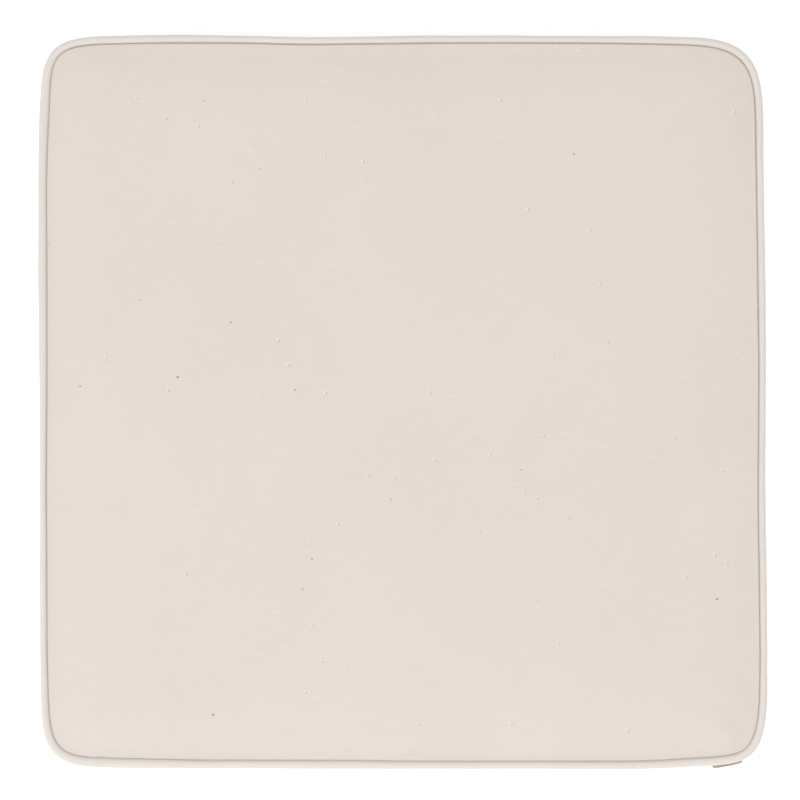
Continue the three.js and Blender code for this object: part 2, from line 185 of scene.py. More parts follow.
def mirrored(shares: np.ndarray) -> np.ndarray:
    """Numbers from zero up, with the same ones below zero in front of them."""
    return np.concatenate([-shares[::-1], shares[1:]])


def right_round(signed: np.ndarray) -> np.ndarray:
    """Outline places of a square grid's rim, side by side, from its knots between -1 and 1."""
    quarter = (signed + 1) / 2
    return np.concatenate([side + quarter[:-1] for side in range(4)] + [[4.0]])


def arc(centre: tuple[float, float], radius: float, start: float, end: float,
        steps: int) -> list[tuple[float, float]]:
    """Points on a circle.

    Args:
        centre: The circle's centre.
        radius: Its radius.
        start: The first point's angle in degrees.
        end: The last point's angle in degrees.
        steps: How many spans to divide it into.

    Returns:
        The points, first to last.
    """
    turns = np.radians(np.linspace(start, end, steps + 1))
    return [(centre[0] + radius * math.cos(a), centre[1] + radius * math.sin(a)) for a in turns]


def ripple(along: np.ndarray, across: np.ndarray, seed: float) -> np.ndarray:
    """Even, repeatable noise between about -1 and 1 for arrays of two coordinates."""
    flat = [noise.noise(Vector((a, b, seed))) for a, b in zip(along.ravel(), across.ravel())]
    return np.array(flat).reshape(along.shape) * 1.6


# ---------------------------------------------------------------- the plan outline


@dataclass
class Outline:
    """The pad's plan: straight sides joined by soft corners, with the slight waver of sewn cloth.

    A place on it is a number from 0 to 4, counted anticlockwise in sides from the middle of the
    front right corner; each side runs from one corner's middle to the next. The waver moves the
    whole edge outwards and the gather moves the seam inwards, both in hundredths of a millimetre
    at even places all round and evened out over blend_width, which is in places. The seam shade
    by side is how strong the painted shade along the seams is at the middle of the right, back,
    left and front, set to how the light falls on each side.
    """

    half_x: float
    half_y: float
    reach: float = 60 * MM
    squareness: tuple[float, float, float, float] = (4.97, 3.22, 4.83, 4.29)
    waver: tuple[int, ...] = (
        -170, 104, 94, 64, 24, -6, -36, 4, 14, 4, -56, -116, -156, -186,
        44, -83, -3, -3, 7, 27, 47, 7, -53, -73, 7, 57, 57, -3,
        -84, -45, 85, 95, 95, 75, 45, -25, -25, -25, -25, -25, -35, -115,
        -9, -78, -28, -28, -28, 2, 12, 12, 12, 12, 12, 52, 12, -190,
    )
    gather: tuple[int, ...] = (
        60, 0, -50, -45, -40, -20, -60, -60, -50, -20, -35, -40, -35, -5,
        40, 10, 5, -45, -40, -25, -10, -10, -40, -25, -40, 5, 5, 15,
        10, 130, 70, 20, 60, 45, 15, -50, -90, -95, -60, -55, -60, -30,
        90, 130, 90, 35, 30, 55, 60, 10, 5, 5, 5, 40, 10, 60,
    )
    blend_width: float = 0.055
    # How strong the painted shade along the seams is on the right, back, left and front, set to how the light
    # falls on each.
    seam_shade_by_side: tuple[float, float, float, float] = (1.0, 0.55, 0.8, 0.25)
    corner_steps: int = 48
    places: np.ndarray = field(init=False)
    points: np.ndarray = field(init=False)
    normals: np.ndarray = field(init=False)
    lengths: np.ndarray = field(init=False)

    def __post_init__(self) -> None:
        """Work out the table of places, points, normals and running lengths once."""
        corners = [self._corner(k) for k in range(4)]
        places, points, normals = [], [], []
        for side in range(4):
            first, second = corners[side], corners[(side + 1) % 4]
            mid = self.corner_steps
            line = np.vstack([first[0][mid:], second[0][: mid + 1]])
            facing = np.vstack([first[1][mid:], second[1][: mid + 1]])
            run = path_length(line)
            places.append(side + run / run[-1])
            points.append(line)
            normals.append(facing)
        self.places = np.concatenate(places)
        self.points = np.vstack(points)
        self.normals = np.vstack(normals)
        self.lengths = path_length(self.points)

    def _corner(self, number: int) -> tuple[np.ndarray, np.ndarray]:
        """One corner from the end of a side to the start of the next.

        Args:
            number: 0 front right, 1 back right, 2 back left, 3 front left.

        Returns:
            Its points and its outward directions.
        """
        power = self.squareness[number]
        low = np.linspace(0.0, 0.5 ** (1 / power), self.corner_steps + 1)
        high = (1 - low**power) ** (1 / power)
        first = np.stack([high, low], 1)
        local = np.vstack([first, first[-2::-1, ::-1]])
        facing = local ** (power - 1)
        facing /= np.linalg.norm(facing, axis=1)[:, None]
        turn = math.radians(90 * (number - 1))
        spin = np.array([[math.cos(turn), math.sin(turn)], [-math.sin(turn), math.cos(turn)]])
        signs = ((1, -1), (1, 1), (-1, 1), (-1, -1))[number]
        centre = np.array([signs[0] * (self.half_x - self.reach), signs[1] * (self.half_y - self.reach)])
        return centre + self.reach * local @ spin, facing @ spin

    def at(self, place: np.ndarray, inset: np.ndarray, follow: float | np.ndarray = 1.0) -> np.ndarray:
        """Points in plan.

        Args:
            place: Outline numbers, 0 to 4 and round again.
            inset: How far inside the outermost edge, in metres, of the same shape.
            follow: How much of the waver the points take.

        Returns:
            The points, with a last axis of two.
        """
        turn = np.mod(place, 4.0)
        point = np.stack([np.interp(turn, self.places, self.points[:, k]) for k in (0, 1)], -1)
        facing = np.stack([np.interp(turn, self.places, self.normals[:, k]) for k in (0, 1)], -1)
        facing /= np.linalg.norm(facing, axis=-1, keepdims=True)
        out = follow * self.waver_at(turn) - inset
        return point + facing * out[..., None]

    def waver_at(self, place: np.ndarray) -> np.ndarray:
        """How far the sewn edge strays outwards at a place."""
        return self._smooth(self.waver, place)

    def gather_at(self, place: np.ndarray) -> np.ndarray:
        """How much further in than usual the seam lies at a place."""
        return self._smooth(self.gather, place)

    def _smooth(self, table: Sequence[int], place: np.ndarray) -> np.ndarray:
        """Read one of the tables of hundredths of a millimetre, evened out along the edge.

        Args:
            table: The values at even places all round.
            place: Outline numbers.

        Returns:
            Metres.
        """
        centres = np.arange(len(table)) * 4 / len(table)
        away = np.mod(np.asarray(place)[..., None] - centres + 2.0, 4.0) - 2.0
        share = bell(away, self.blend_width)
        return (share * np.array(table)).sum(-1) / share.sum(-1) * 0.01 * MM

    def seam_shade_at(self, place: np.ndarray) -> np.ndarray:
        """How strong the painted shade along the seam is at a place, from each side's own share."""
        turn = np.mod(place, 4.0)
        return np.interp(turn, [-0.5, 0.5, 1.5, 2.5, 3.5, 4.5], [self.seam_shade_by_side[3], *self.seam_shade_by_side, self.seam_shade_by_side[0]])

    def run(self, place: np.ndarray) -> np.ndarray:
        """Running length in metres at places, growing past a full round."""
        rounds = np.floor(place / 4.0)
        return np.interp(np.mod(place, 4.0), self.places, self.lengths) + rounds * self.lengths[-1]

    def place_of(self, side: Side, offset: float | np.ndarray) -> np.ndarray:
        """Places found by how far along a side they lie.

        Args:
            side: The side.
            offset: Its x on the front and back, or its y on the left and right.

        Returns:
            The outline places.
        """
        axis = 0 if side in (Side.FRONT, Side.BACK) else 1
        start = side.value * (2 * self.corner_steps + 2)
        span = slice(start, start + 2 * self.corner_steps + 2)
        values, places = self.points[span, axis], self.places[span]
        order = np.argsort(values, kind="stable")
        return np.interp(offset, values[order], places[order])


# ---------------------------------------------------------------- finishes


class Shader:
    """A node material that is put together one node at a time."""

    def __init__(self, name: str) -> None:
        """Start an empty material with its surface shader.

        Args:
            name: The material's name.
        """
        self.material = bpy.data.materials.new(name)
        self.material.use_nodes = True
        self.tree = self.material.node_tree
        self.surface = self.tree.nodes["Principled BSDF"]

    def add(self, kind: str, inputs: dict[str | int, object] | None = None, output: str | int = 0,
            **settings: object) -> Socket:
        """Add a node.

        Args:
            kind: The node's type, without its ShaderNode prefix.
            inputs: Values or sockets by input name or number.
            output: Which of its outputs to hand back.
            settings: Attributes to set on the node.

        Returns:
            The chosen output socket.
        """
        node = self.tree.nodes.new("ShaderNode" + kind)
        for name, value in settings.items():
            setattr(node, name, value)
        for key, value in (inputs or {}).items():
            if isinstance(value, Socket):
                self.tree.links.new(value, node.inputs[key])
            else:
                node.inputs[key].default_value = value
        return node.outputs[output]

    def math(self, operation: str, *values: Socket | float) -> Socket:
        """A Math node on one to three values."""
        return self.add("Math", dict(enumerate(values)), operation=operation)

    def mix(self, amount: Socket | float, low: object, high: object) -> Socket:
        """Mix two colours.

        Args:
            amount: How much of the second.
            low: The first colour or socket.
            high: The second colour or socket.

        Returns:
            The mixed colour.
        """
        return self.add("Mix", {0: amount, 6: low, 7: high}, 2, data_type="RGBA")

    def ramp(self, value: Socket, low: float, high: float, start: float = 0.0, end: float = 1.0) -> Socket:
        """A smooth step of a value.

        Args:
            value: What is stepped.
            low: Where it begins.
            high: Where it ends.
            start: The result below low.
            end: The result above high.

        Returns:
            The stepped value.
        """
        limits = {0: value, 1: low, 2: high, 3: start, 4: end}
        return self.add("MapRange", limits, interpolation_type="SMOOTHSTEP")

    def stretched(self, source: Socket, scale: Sequence[float], turn: float = 0.0) -> Socket:
        """Coordinates turned about z and scaled."""
        return self.add("Mapping", {"Vector": source, "Rotation": (0.0, 0.0, turn), "Scale": tuple(scale)})

    def noise(self, source: Socket, scale: float, detail: float = 2.0, rough: float = 0.5) -> Socket:
        """Noise from 0 to 1 at some scale."""
        return self.add("TexNoise", {"Vector": source, "Scale": scale, "Detail": detail, "Roughness": rough})

    def bump(self, height: Socket, distance: float, strength: float, under: Socket | None = None) -> Socket:
        """A Bump node, over another where one is given."""
        links = {"Height": height, "Distance": distance, "Strength": strength}
        if under is not None:
            links["Normal"] = under
        return self.add("Bump", links)

    def close(self, links: dict[str, Socket], values: dict[str, object]) -> bpy.types.Material:
        """Plug sockets and constants into the surface.

        Args:
            links: Sockets by the surface's input names.
            values: Constants by the surface's input names.

        Returns:
            The finished material.
        """
        for key, socket in links.items():
            self.tree.links.new(socket, self.surface.inputs[key])
        for key, value in values.items():
            self.surface.inputs[key].default_value = value
        return self.material


def shade(colour: Colour, factor: float = 1.0) -> tuple[float, float, float, float]:
    """A colour made darker or lighter by a factor, with full opacity."""
    return (*(c * factor for c in colour), 1.0)


@dataclass(frozen=True)
class Canvas:
    """Unbleached cotton canvas: plain weave, slubs, husk flecks, lint with painted shadows and a soft bloom on
    the fibres.
    """

    name: str
    colour: Colour = (0.733, 0.663, 0.606)
    pitch: float = 0.46 * MM
    grain_turn: float = 0.0
    flecks: float = 1.0
    relief: float = 0.6

    def make(self) -> bpy.types.Material:
        """Build the material on the cloth's own thread coordinates."""
        s = Shader(self.name)
        cloth = s.add("UVMap", uv_map="threads")
        threads = s.stretched(cloth, (1 / self.pitch, 1 / self.pitch, 1.0), self.grain_turn)
        wander = s.math("MULTIPLY", s.noise(s.stretched(cloth, (240, 240, 1)), 1.0, 1.0), 0.18)
        drift = s.add("CombineXYZ", {0: wander, 1: wander})
        strayed = s.add("VectorMath", {0: threads, 1: drift}, operation="ADD")
        parts = s.add("SeparateXYZ", {0: strayed})
        u, v = parts, parts.node.outputs[1]
        height = self._weave(s, u, v)
        slub_across = s.noise(s.stretched(cloth, (75, 1500, 1), self.grain_turn), 1.0, 2.0, 0.6)
        slub_along = s.noise(s.stretched(cloth, (1700, 90, 1), self.grain_turn), 1.0, 2.0, 0.6)
        slubs = s.math("ADD", s.math("MULTIPLY", slub_across, 0.68), s.math("MULTIPLY", slub_along, 0.32))
        cloudy = s.noise(s.stretched(cloth, (9, 9, 1)), 1.0, 3.0, 0.55)
        base = shade(self.colour)
        dark = tuple(c * f for c, f in zip(self.colour, (0.90, 0.885, 0.86))) + (1.0,)
        light = tuple(min(1.0, c * f) for c, f in zip(self.colour, (1.045, 1.05, 1.06))) + (1.0,)
        tone = s.mix(s.ramp(slubs, 0.36, 0.66), dark, light)
        tone = s.mix(0.22, base, tone)
        tone = s.mix(s.ramp(cloudy, 0.3, 0.7, 0.0, 0.22), tone, dark)
        speckle = s.noise(s.stretched(cloth, (1050, 1300, 1)), 1.0, 1.0)
        patchy = s.noise(s.stretched(cloth, (70, 90, 1)), 1.0, 2.0)
        pale = s.math("MULTIPLY", s.ramp(speckle, 0.60, 0.74), s.ramp(patchy, 0.42, 0.66, 0.10, 0.60))
        tone = s.mix(pale, tone, light)
        dull = s.math("MULTIPLY", s.ramp(speckle, 0.26, 0.40, 1.0, 0.0), s.ramp(patchy, 0.42, 0.66, 0.10, 0.50))
        tone = s.mix(dull, tone, dark)
        # Painted shade in the hollows between the threads.
        tone = s.mix(s.ramp(height, 0.0, 0.75, 0.30, 0.0), tone, shade(self.colour, 0.72))
        tone = self._flecks(s, cloth, tone)
        # Painted shade along the seams, and darker edges, read from the vertex attribute and mixed into the
        # cloth's colour.
        shade_and_edges = s.add("Attribute", output="Fac", attribute_name="shade_and_dark_edges")
        tone = s.mix(s.math("MULTIPLY", shade_and_edges, 0.5), tone, shade(self.colour, 0.60))
        relief = s.bump(slubs, 0.25 * MM, 0.35 * self.relief)
        relief = s.bump(height, 0.16 * MM, 0.55 * self.relief, relief)
        rough = s.ramp(slubs, 0.3, 0.7, 0.96, 0.84)
        return s.close({"Base Color": tone, "Normal": relief, "Roughness": rough},
                       {"Sheen Weight": 0.04, "Sheen Roughness": 0.5, "Specular IOR Level": 0.12})

    @staticmethod
    def _weave(s: Shader, u: Socket, v: Socket) -> Socket:
        """The height of a plain weave, 0 between threads and 1 on their crowns.

        Args:
            s: The material being built.
            u: Thread count along the weft.
            v: Thread count along the warp.

        Returns:
            The height.
        """
        def thread(across: Socket, along: Socket, shift: float) -> Socket:
            """The height of one set of threads.

            Args:
                across: Thread count across the threads.
                along: Thread count along them.
                shift: Where along themselves they dive under the other set, in threads.

            Returns:
                The height.
            """
            body = s.math("ABSOLUTE", s.math("SINE", s.math("MULTIPLY", across, math.pi)))
            row = s.math("ADD", s.math("FLOOR", across), shift)
            turn = s.math("MULTIPLY", s.math("ADD", along, row), math.pi)
            crown = s.math("MULTIPLY_ADD", s.math("COSINE", turn), 0.42, 0.58)
            return s.math("MULTIPLY", s.math("POWER", body, 0.6), crown)

        return s.math("MAXIMUM", thread(u, v, 0.5), thread(v, u, 1.5))

    def _flecks(self, s: Shader, cloth: Socket, tone: Socket) -> Socket:
        """Scatter husk specks and pale lint over a colour, with a painted shadow beside each lint speck.

        Args:
            s: The material being built.
            cloth: Cloth coordinates in metres.
            tone: The colour so far.

        Returns:
            The speckled colour.
        """
        for across, along, chance, size, shift, colour, strength in (
            # A painted shadow: the pale lint's cells moved a little, so that a dark spot lies beside each speck.
            (8 * MM, 7 * MM, 0.90, 0.110, (-0.0007, 0.0004), (0.36, 0.28, 0.22), 0.42),
            (8 * MM, 7 * MM, 0.90, 0.105, (0.0, 0.0), (0.96, 0.90, 0.85), 0.46),
            (11 * MM, 9 * MM, 0.955, 0.075, (0.0, 0.0), (0.30, 0.22, 0.17), 0.62),
            (23 * MM, 18 * MM, 0.94, 0.040, (0.0, 0.0), (0.16, 0.11, 0.08), 0.66),
            (19 * MM, 4.5 * MM, 0.90, 0.130, (0.0, 0.0), (0.60, 0.52, 0.45), 0.26),
            (15 * MM, 4.0 * MM, 0.90, 0.140, (0.0, 0.0), (0.84, 0.78, 0.72), 0.30),
        ):
            moved = s.add("VectorMath", {0: cloth, 1: (*shift, 0.0)}, operation="ADD")
            source = s.stretched(moved, (1 / across, 1 / along, 1.0), 0.1)
            near = s.add("TexVoronoi", {"Vector": source, "Scale": 1.0, "Randomness": 1.0}, "Distance")
            pick = s.add("SeparateColor", {0: near.node.outputs["Color"]}, "Red")
            within = s.ramp(near, size * 0.6, size * 1.2, 1.0, 0.0)
            spot = s.math("MULTIPLY", within, s.ramp(pick, chance, chance + 0.01))
            tone = s.mix(s.math("MULTIPLY", spot, strength * self.flecks), tone, shade(colour))
        return tone


@dataclass(frozen=True)
class Leather:
    """Vegetable-tanned leather with pores, creases and darker cut edges."""

    name: str = "tab_leather"
    colour: Colour = (0.47, 0.345, 0.285)

    def make(self) -> bpy.types.Material:
        """Build the material."""
        s = Shader(self.name)
        place = s.add("TexCoord", output="Object")
        grain = s.add("TexVoronoi", {"Vector": place, "Scale": 1500.0}, "Distance")
        crease = s.noise(s.stretched(place, (420, 900, 420)), 1.0, 4.0, 0.6)
        cloud = s.noise(place, 120.0, 3.0)
        edge = s.add("Attribute", output="Fac", attribute_name="shade_and_dark_edges")
        tone = s.mix(s.ramp(cloud, 0.3, 0.7), shade(self.colour, 0.86), shade(self.colour, 1.1))
        tone = s.mix(s.ramp(grain, 0.05, 0.5, 0.35, 0.0), tone, shade(self.colour, 0.55))
        tone = s.mix(s.math("MULTIPLY", edge, 0.7), tone, shade(self.colour, 0.42))
        relief = s.bump(crease, 0.2 * MM, 0.3)
        relief = s.bump(grain, 0.12 * MM, 0.4, relief)
        rough = s.ramp(crease, 0.3, 0.7, 0.42, 0.62)
        return s.close({"Base Color": tone, "Normal": relief, "Roughness": rough},
                       {"Specular IOR Level": 0.45, "Coat Weight": 0.08, "Coat Roughness": 0.35})


@dataclass(frozen=True)
class Nickel:
    """Tumbled nickel plate with fine scratches and a duller, worn film."""

    name: str = "zip_nickel"
    colour: Colour = (0.66, 0.64, 0.60)

    def make(self) -> bpy.types.Material:
        """Build the material."""
        s = Shader(self.name)
        place = s.add("TexCoord", output="Object")
        film = s.noise(place, 420.0, 4.0, 0.6)
        scratch = s.noise(s.stretched(place, (260, 5200, 2600), 0.35), 1.0, 2.0)
        tone = s.mix(s.ramp(film, 0.35, 0.75), shade(self.colour), (0.60, 0.575, 0.535, 1.0))
        rough = s.math("ADD", s.ramp(film, 0.3, 0.8, 0.22, 0.42), s.ramp(scratch, 0.55, 0.75, 0.0, 0.12))
        relief = s.bump(s.math("ADD", film, s.math("MULTIPLY", scratch, 0.5)), 0.04 * MM, 0.25)
        return s.close({"Base Color": tone, "Normal": relief, "Roughness": rough}, {"Metallic": 1.0})


@dataclass(frozen=True)
class Yarn:
    """Spun or woven thread work in one colour: cords, stitches, zip tape and zip coils."""

    name: str
    colour: Colour
    scale: tuple[float, float, float] = (1600.0, 1600.0, 1600.0)
    turn: float = 0.0
    relief: float = 0.12 * MM
    roughness: float = 0.85
    sheen: float = 0.15

    def make(self) -> bpy.types.Material:
        """Build the material."""
        s = Shader(self.name)
        place = s.add("TexCoord", output="Object")
        lie = s.stretched(place, self.scale, self.turn)
        wave = s.add("TexWave", {"Vector": lie, "Scale": 0.32, "Distortion": 2.2, "Detail": 2.0}, "Fac")
        fibre = s.noise(lie, 1.0, 3.0, 0.6)
        cloud = s.noise(place, 60.0, 2.0)
        tone = s.mix(s.ramp(fibre, 0.3, 0.7), shade(self.colour, 0.82), shade(self.colour))
        # Painted shade in the grooves of the twist or weave.
        tone = s.mix(s.ramp(wave, 0.0, 0.6, 0.3, 0.0), tone, shade(self.colour, 0.6))
        tone = s.mix(s.ramp(cloud, 0.35, 0.7, 0.0, 0.2), tone, shade(self.colour, 0.85))
        relief = s.bump(s.math("ADD", wave, fibre), self.relief, 0.5)
        rough = s.ramp(fibre, 0.3, 0.7, self.roughness - 0.08, min(1.0, self.roughness + 0.06))
        return s.close({"Base Color": tone, "Normal": relief, "Roughness": rough},
                       {"Sheen Weight": self.sheen, "Specular IOR Level": 0.3})


@dataclass(frozen=True)
class Filling:
    """Foam or fibre wadding: open cells or tangled hair."""

    name: str
    colour: Colour
    cell: float = 1.4 * MM
    depth: float = 0.6 * MM

    def make(self) -> bpy.types.Material:
        """Build the material."""
        s = Shader(self.name)
        place = s.add("TexCoord", output="Object")
        pores = s.add("TexVoronoi", {"Vector": place, "Scale": 1 / self.cell}, "Distance")
        cloud = s.noise(place, 35.0, 3.0)
        # Painted shade in the open cells.
        tone = s.mix(s.ramp(pores, 0.1, 0.6), shade(self.colour, 0.7), shade(self.colour))
        tone = s.mix(s.ramp(cloud, 0.35, 0.7, 0.0, 0.3), tone, shade(self.colour, 0.88))
        relief = s.bump(pores, self.depth, 0.6)
        rough = s.ramp(pores, 0.0, 0.6, 0.98, 0.88)
        return s.close({"Base Color": tone, "Normal": relief, "Roughness": rough},
                       {"Sheen Weight": 0.1, "Specular IOR Level": 0.2})


def dress(piece: Piece, material: bpy.types.Material, body: str = "pad") -> Piece:
    """Give a piece its finish and the body it rides on.

    Args:
        piece: The piece.
        material: Its finish.
        body: The body it moves with.

    Returns:
        The same piece.
    """
    piece.data.materials.clear()
    piece.data.materials.append(material)
    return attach(piece, body)


def mark_wear(piece: Piece, amount: np.ndarray) -> None:
    """Store how much each vertex is darkened, 0 to 1, for the finishes to read."""
    layer = piece.data.attributes.new("shade_and_dark_edges", "FLOAT", "POINT")
    layer.data.foreach_set("value", np.clip(amount, 0, 1).astype(np.float32))


def vertex_places(piece: Piece) -> np.ndarray:
    """All vertex places of a piece as rows of three."""
    co = np.zeros(len(piece.data.vertices) * 3)
    piece.data.vertices.foreach_get("co", co)
    return co.reshape(-1, 3)


# ---------------------------------------------------------------- the pressed cover


@dataclass
class PressedCover:
    """The closed cover as the filling presses it out, found by cloth simulation between pinned seams."""

    outline: Outline
    seam_inset: float
    top_edge: float
    height: float
    zip_half: float
    ridge_rise: float = 1.1 * MM
    ridge_run: float = 0.42 * MM
    roll_rise: float = 2.1 * MM
    roll_from: float = 3.0 * MM
    roll_to: float = 17.0 * MM
    bulge: float = 0.9 * MM
    cell: float = 8.0 * MM
    cap: float = 1.4 * MM
    pressure: float = 4.0
    frames: int = 20
    knots: np.ndarray = field(init=False)
    levels: np.ndarray = field(init=False)
    panel_push: dict[Facing, np.ndarray] = field(init=False)
    side_push: np.ndarray = field(init=False)
    side_places: np.ndarray = field(init=False)

    def __post_init__(self) -> None:
        """Lay out the simulated mesh and press it."""
        near = np.array([0.0, 1.4, 3.2, 5.5, 8.5, 12.5, 17.5, 23.5]) * MM
        depth = self.depth
        count = int(round((depth - near[-1]) / self.cell))
        insets = np.concatenate([near, np.linspace(near[-1], depth, count + 1)[1:]])
        self.knots = 1 - insets[::-1] / depth
        low = self.height - self.top_edge
        gap = 2.2 * MM
        middle = [level * MM for level in (13, 19, 25, 31, 37)]
        self.levels = np.array([low, low + gap, low + gap + 3 * MM, *middle,
                                self.top_edge - gap - 3 * MM, self.top_edge - gap, self.top_edge])
        self.press()

    @property
    def depth(self) -> float:
        """From the seam to the pad's middle, across."""
        return self.outline.half_x - self.seam_inset

    def level(self, inset: np.ndarray, facing: Facing) -> np.ndarray:
        """Height of a panel's outer face before pressing.

        Args:
            inset: Distance inside the seam.
            facing: Which panel.

        Returns:
            The height above the underside.
        """
        rise = self.ridge_rise * (1 - np.exp(-np.maximum(inset, 0) / self.ridge_run))
        rise = rise + self.roll_rise * smoothstep(inset, self.roll_from, self.roll_to)
        top = self.top_edge + rise
        return top if facing is Facing.UP else self.height - top

    def panel_places(self, u: np.ndarray, v: np.ndarray) -> tuple[np.ndarray, np.ndarray]:
        """Which outline place and which share of the way out a knot of a square panel grid has.

        Args:
            u: Across, -1 to 1.
            v: Along, -1 to 1.

        Returns:
            The outline places, and the shares from the middle to the rim.
        """
        share = np.maximum(np.abs(u), np.abs(v))
        safe = np.where(share > 0, share, 1.0)
        a, b = u / safe, v / safe
        right = (a >= 1 - 1e-12) & (share > 0)
        left = (a <= -1 + 1e-12) & ~right
        back = (b >= 1 - 1e-12) & ~right & ~left
        place = np.where(right, (b + 1) / 2, np.where(back, 1 + (1 - a) / 2,
                         np.where(left, 2 + (1 - b) / 2, 3 + (a + 1) / 2)))
        return place, share

    def panel_base(self, place: np.ndarray, share: np.ndarray, facing: Facing) -> np.ndarray:
        """Points of a panel's outer face before pressing.

        Args:
            place: Outline places.
            share: Shares of the way from the middle to the seam.
            facing: Which panel.

        Returns:
            The points.
        """
        rim = self.outline.at(place, self.seam_inset + self.outline.gather_at(place))
        plan = rim * share[..., None]
        return raised(plan, self.level((1 - share) * self.depth, facing))

    def side_base(self, place: np.ndarray, level: np.ndarray) -> np.ndarray:
        """Points of the side band's outer face before pressing.

        Args:
            place: Outline places.
            level: Heights above the underside.

        Returns:
            The points.
        """
        low, high = self.levels[1], self.levels[-2]
        t = np.clip((level - low) / (high - low), 0, 1)
        out = self.bulge * np.sin(math.pi * t) ** 0.8 * self.free(place)
        plan = self.outline.at(place, self.seam_inset + self.outline.gather_at(place) - out)
        return raised(plan, level)

    def free(self, place: np.ndarray) -> np.ndarray:
        """Where the side band may swell.

        Args:
            place: Outline places.

        Returns:
            One, falling to zero over the zip.
        """
        turn = np.mod(place, 4.0)
        x = self.outline.at(turn, np.zeros_like(turn))[..., 0]
        zipped = (turn > 1) & (turn < 2)
        return np.where(zipped, smoothstep(np.abs(x), self.zip_half + 2 * MM, self.zip_half + 34 * MM), 1.0)

    def press(self) -> None:
        """Build the closed cover, run the cloth, and keep how far each part moved."""
        signed = mirrored(self.knots)
        u, v = np.meshgrid(signed, signed, indexing="ij")
        place, share = self.panel_places(u, v)
        panels = {f: self.panel_base(place, share, f) for f in Facing}
        self.side_places = right_round(signed)
        s, z = np.meshgrid(self.side_places, self.levels, indexing="ij")
        side = self.side_base(s, z)
        bm = bmesh.new()
        add_grid(bm, panels[Facing.UP])
        add_grid(bm, panels[Facing.DOWN], flip=True)
        add_grid(bm, side)
        bmesh.ops.remove_doubles(bm, verts=bm.verts, dist=0.02 * MM)
        bmesh.ops.recalc_face_normals(bm, faces=bm.faces)
        cover = finish_mesh(bm, "pressed_cover")
        rest = vertex_places(cover)
        moved = self._simulate(cover, rest)
        tree = kdtree.KDTree(len(rest))
        for n, p in enumerate(rest):
            tree.insert(p, n)
        tree.balance()
        bpy.data.objects.remove(cover)

        def pushed(points: np.ndarray) -> np.ndarray:
            """How far the cloth moved at points of the mesh, never by more than the cap."""
            index = [tree.find(p)[1] for p in points.reshape(-1, 3)]
            push = moved[index]
            size = np.linalg.norm(push, axis=1, keepdims=True)
            push = push * np.where(size > 0, self.cap * np.tanh(size / self.cap) / np.maximum(size, 1e-12), 0)
            return push.reshape(points.shape)

        self.panel_push = {f: pushed(p) for f, p in panels.items()}
        self.side_push = pushed(side)

    def _simulate(self, cover: Piece, rest: np.ndarray) -> np.ndarray:
        """Press the closed cover out between its pinned seams.

        Args:
            cover: The closed mesh.
            rest: Its vertices at the start.

        Returns:
            How far each vertex moved.
        """
        low, high = self.levels[1] + 0.1 * MM, self.levels[-2] - 0.1 * MM
        near_seam = (rest[:, 2] <= low) | (rest[:, 2] >= high)
        outside = np.maximum(np.abs(rest[:, 0]) / (self.outline.half_x - self.seam_inset),
                             np.abs(rest[:, 1]) / (self.outline.half_y - self.seam_inset))
        at_rim = near_seam & (rest[:, 2] <= self.top_edge + 0.01 * MM) & (
            rest[:, 2] >= self.height - self.top_edge - 0.01 * MM)
        at_back = rest[:, 1] > self.outline.half_y - 15 * MM
        over_zip = at_back & (np.abs(rest[:, 0]) < self.zip_half + 6 * MM) & (outside > 0.97)
        pinned = np.nonzero(at_rim | over_zip)[0]
        group = cover.vertex_groups.new(name="seams")
        group.add([int(n) for n in pinned], 1.0, "REPLACE")
        cloth = cover.modifiers.new("press", "CLOTH")
        cloth.settings.quality = 6
        cloth.settings.mass = 0.35
        cloth.settings.tension_stiffness = cloth.settings.compression_stiffness = 28
        cloth.settings.shear_stiffness = 12
        cloth.settings.bending_stiffness = 1.5
        cloth.settings.vertex_group_mass = group.name
        cloth.settings.use_pressure = True
        cloth.settings.uniform_pressure_force = self.pressure
        cloth.settings.effector_weights.gravity = 0
        cloth.collision_settings.use_collision = False
        cloth.point_cache.frame_start = 1
        cloth.point_cache.frame_end = self.frames
        for number in range(1, self.frames + 1):
            bpy.context.scene.frame_set(number)
        graph = bpy.context.evaluated_depsgraph_get()
        pressed = bpy.data.meshes.new_from_object(cover.evaluated_get(graph), depsgraph=graph)
        co = np.zeros(len(pressed.vertices) * 3)
        pressed.vertices.foreach_get("co", co)
        cover.modifiers.clear()
        bpy.context.scene.frame_set(1)
        log.info("cover pressed out over %d frames, by up to %.1f mm", self.frames,
                 np.abs(co.reshape(-1, 3) - rest).max() / MM)
        return co.reshape(-1, 3) - rest

    def panel_pushed(self, u: np.ndarray, v: np.ndarray, facing: Facing) -> np.ndarray:
        """How far the pressing moved a panel at signed shares u and v, zero past the rim."""
        signed = mirrored(self.knots)
        return interpolate(signed, signed, self.panel_push[facing], u, v)

    def side_pushed(self, place: np.ndarray, level: np.ndarray) -> np.ndarray:
        """How far the pressing moved the side band."""
        return interpolate(self.side_places, self.levels, self.side_push, np.mod(place, 4.0), level)


def interpolate(x: np.ndarray, y: np.ndarray, table: np.ndarray, a: np.ndarray, b: np.ndarray) -> np.ndarray:
    """Read a table of vectors between its knots.

    Args:
        x: Knots of the first axis.
        y: Knots of the second axis.
        table: Vectors, shaped (len(x), len(y), 3).
        a: Where to read along the first axis.
        b: Where to read along the second axis.

    Returns:
        The vectors there.
    """
    i = np.interp(a, x, np.arange(len(x)))
    j = np.interp(b, y, np.arange(len(y)))
    i0 = np.minimum(i.astype(int), len(x) - 2)
    j0 = np.minimum(j.astype(int), len(y) - 2)
    p, q = (i - i0)[..., None], (j - j0)[..., None]
    return ((table[i0, j0] * (1 - p) + table[i0 + 1, j0] * p) * (1 - q)
            + (table[i0, j0 + 1] * (1 - p) + table[i0 + 1, j0 + 1] * p) * q)


# ---------------------------------------------------------------- cloth pieces


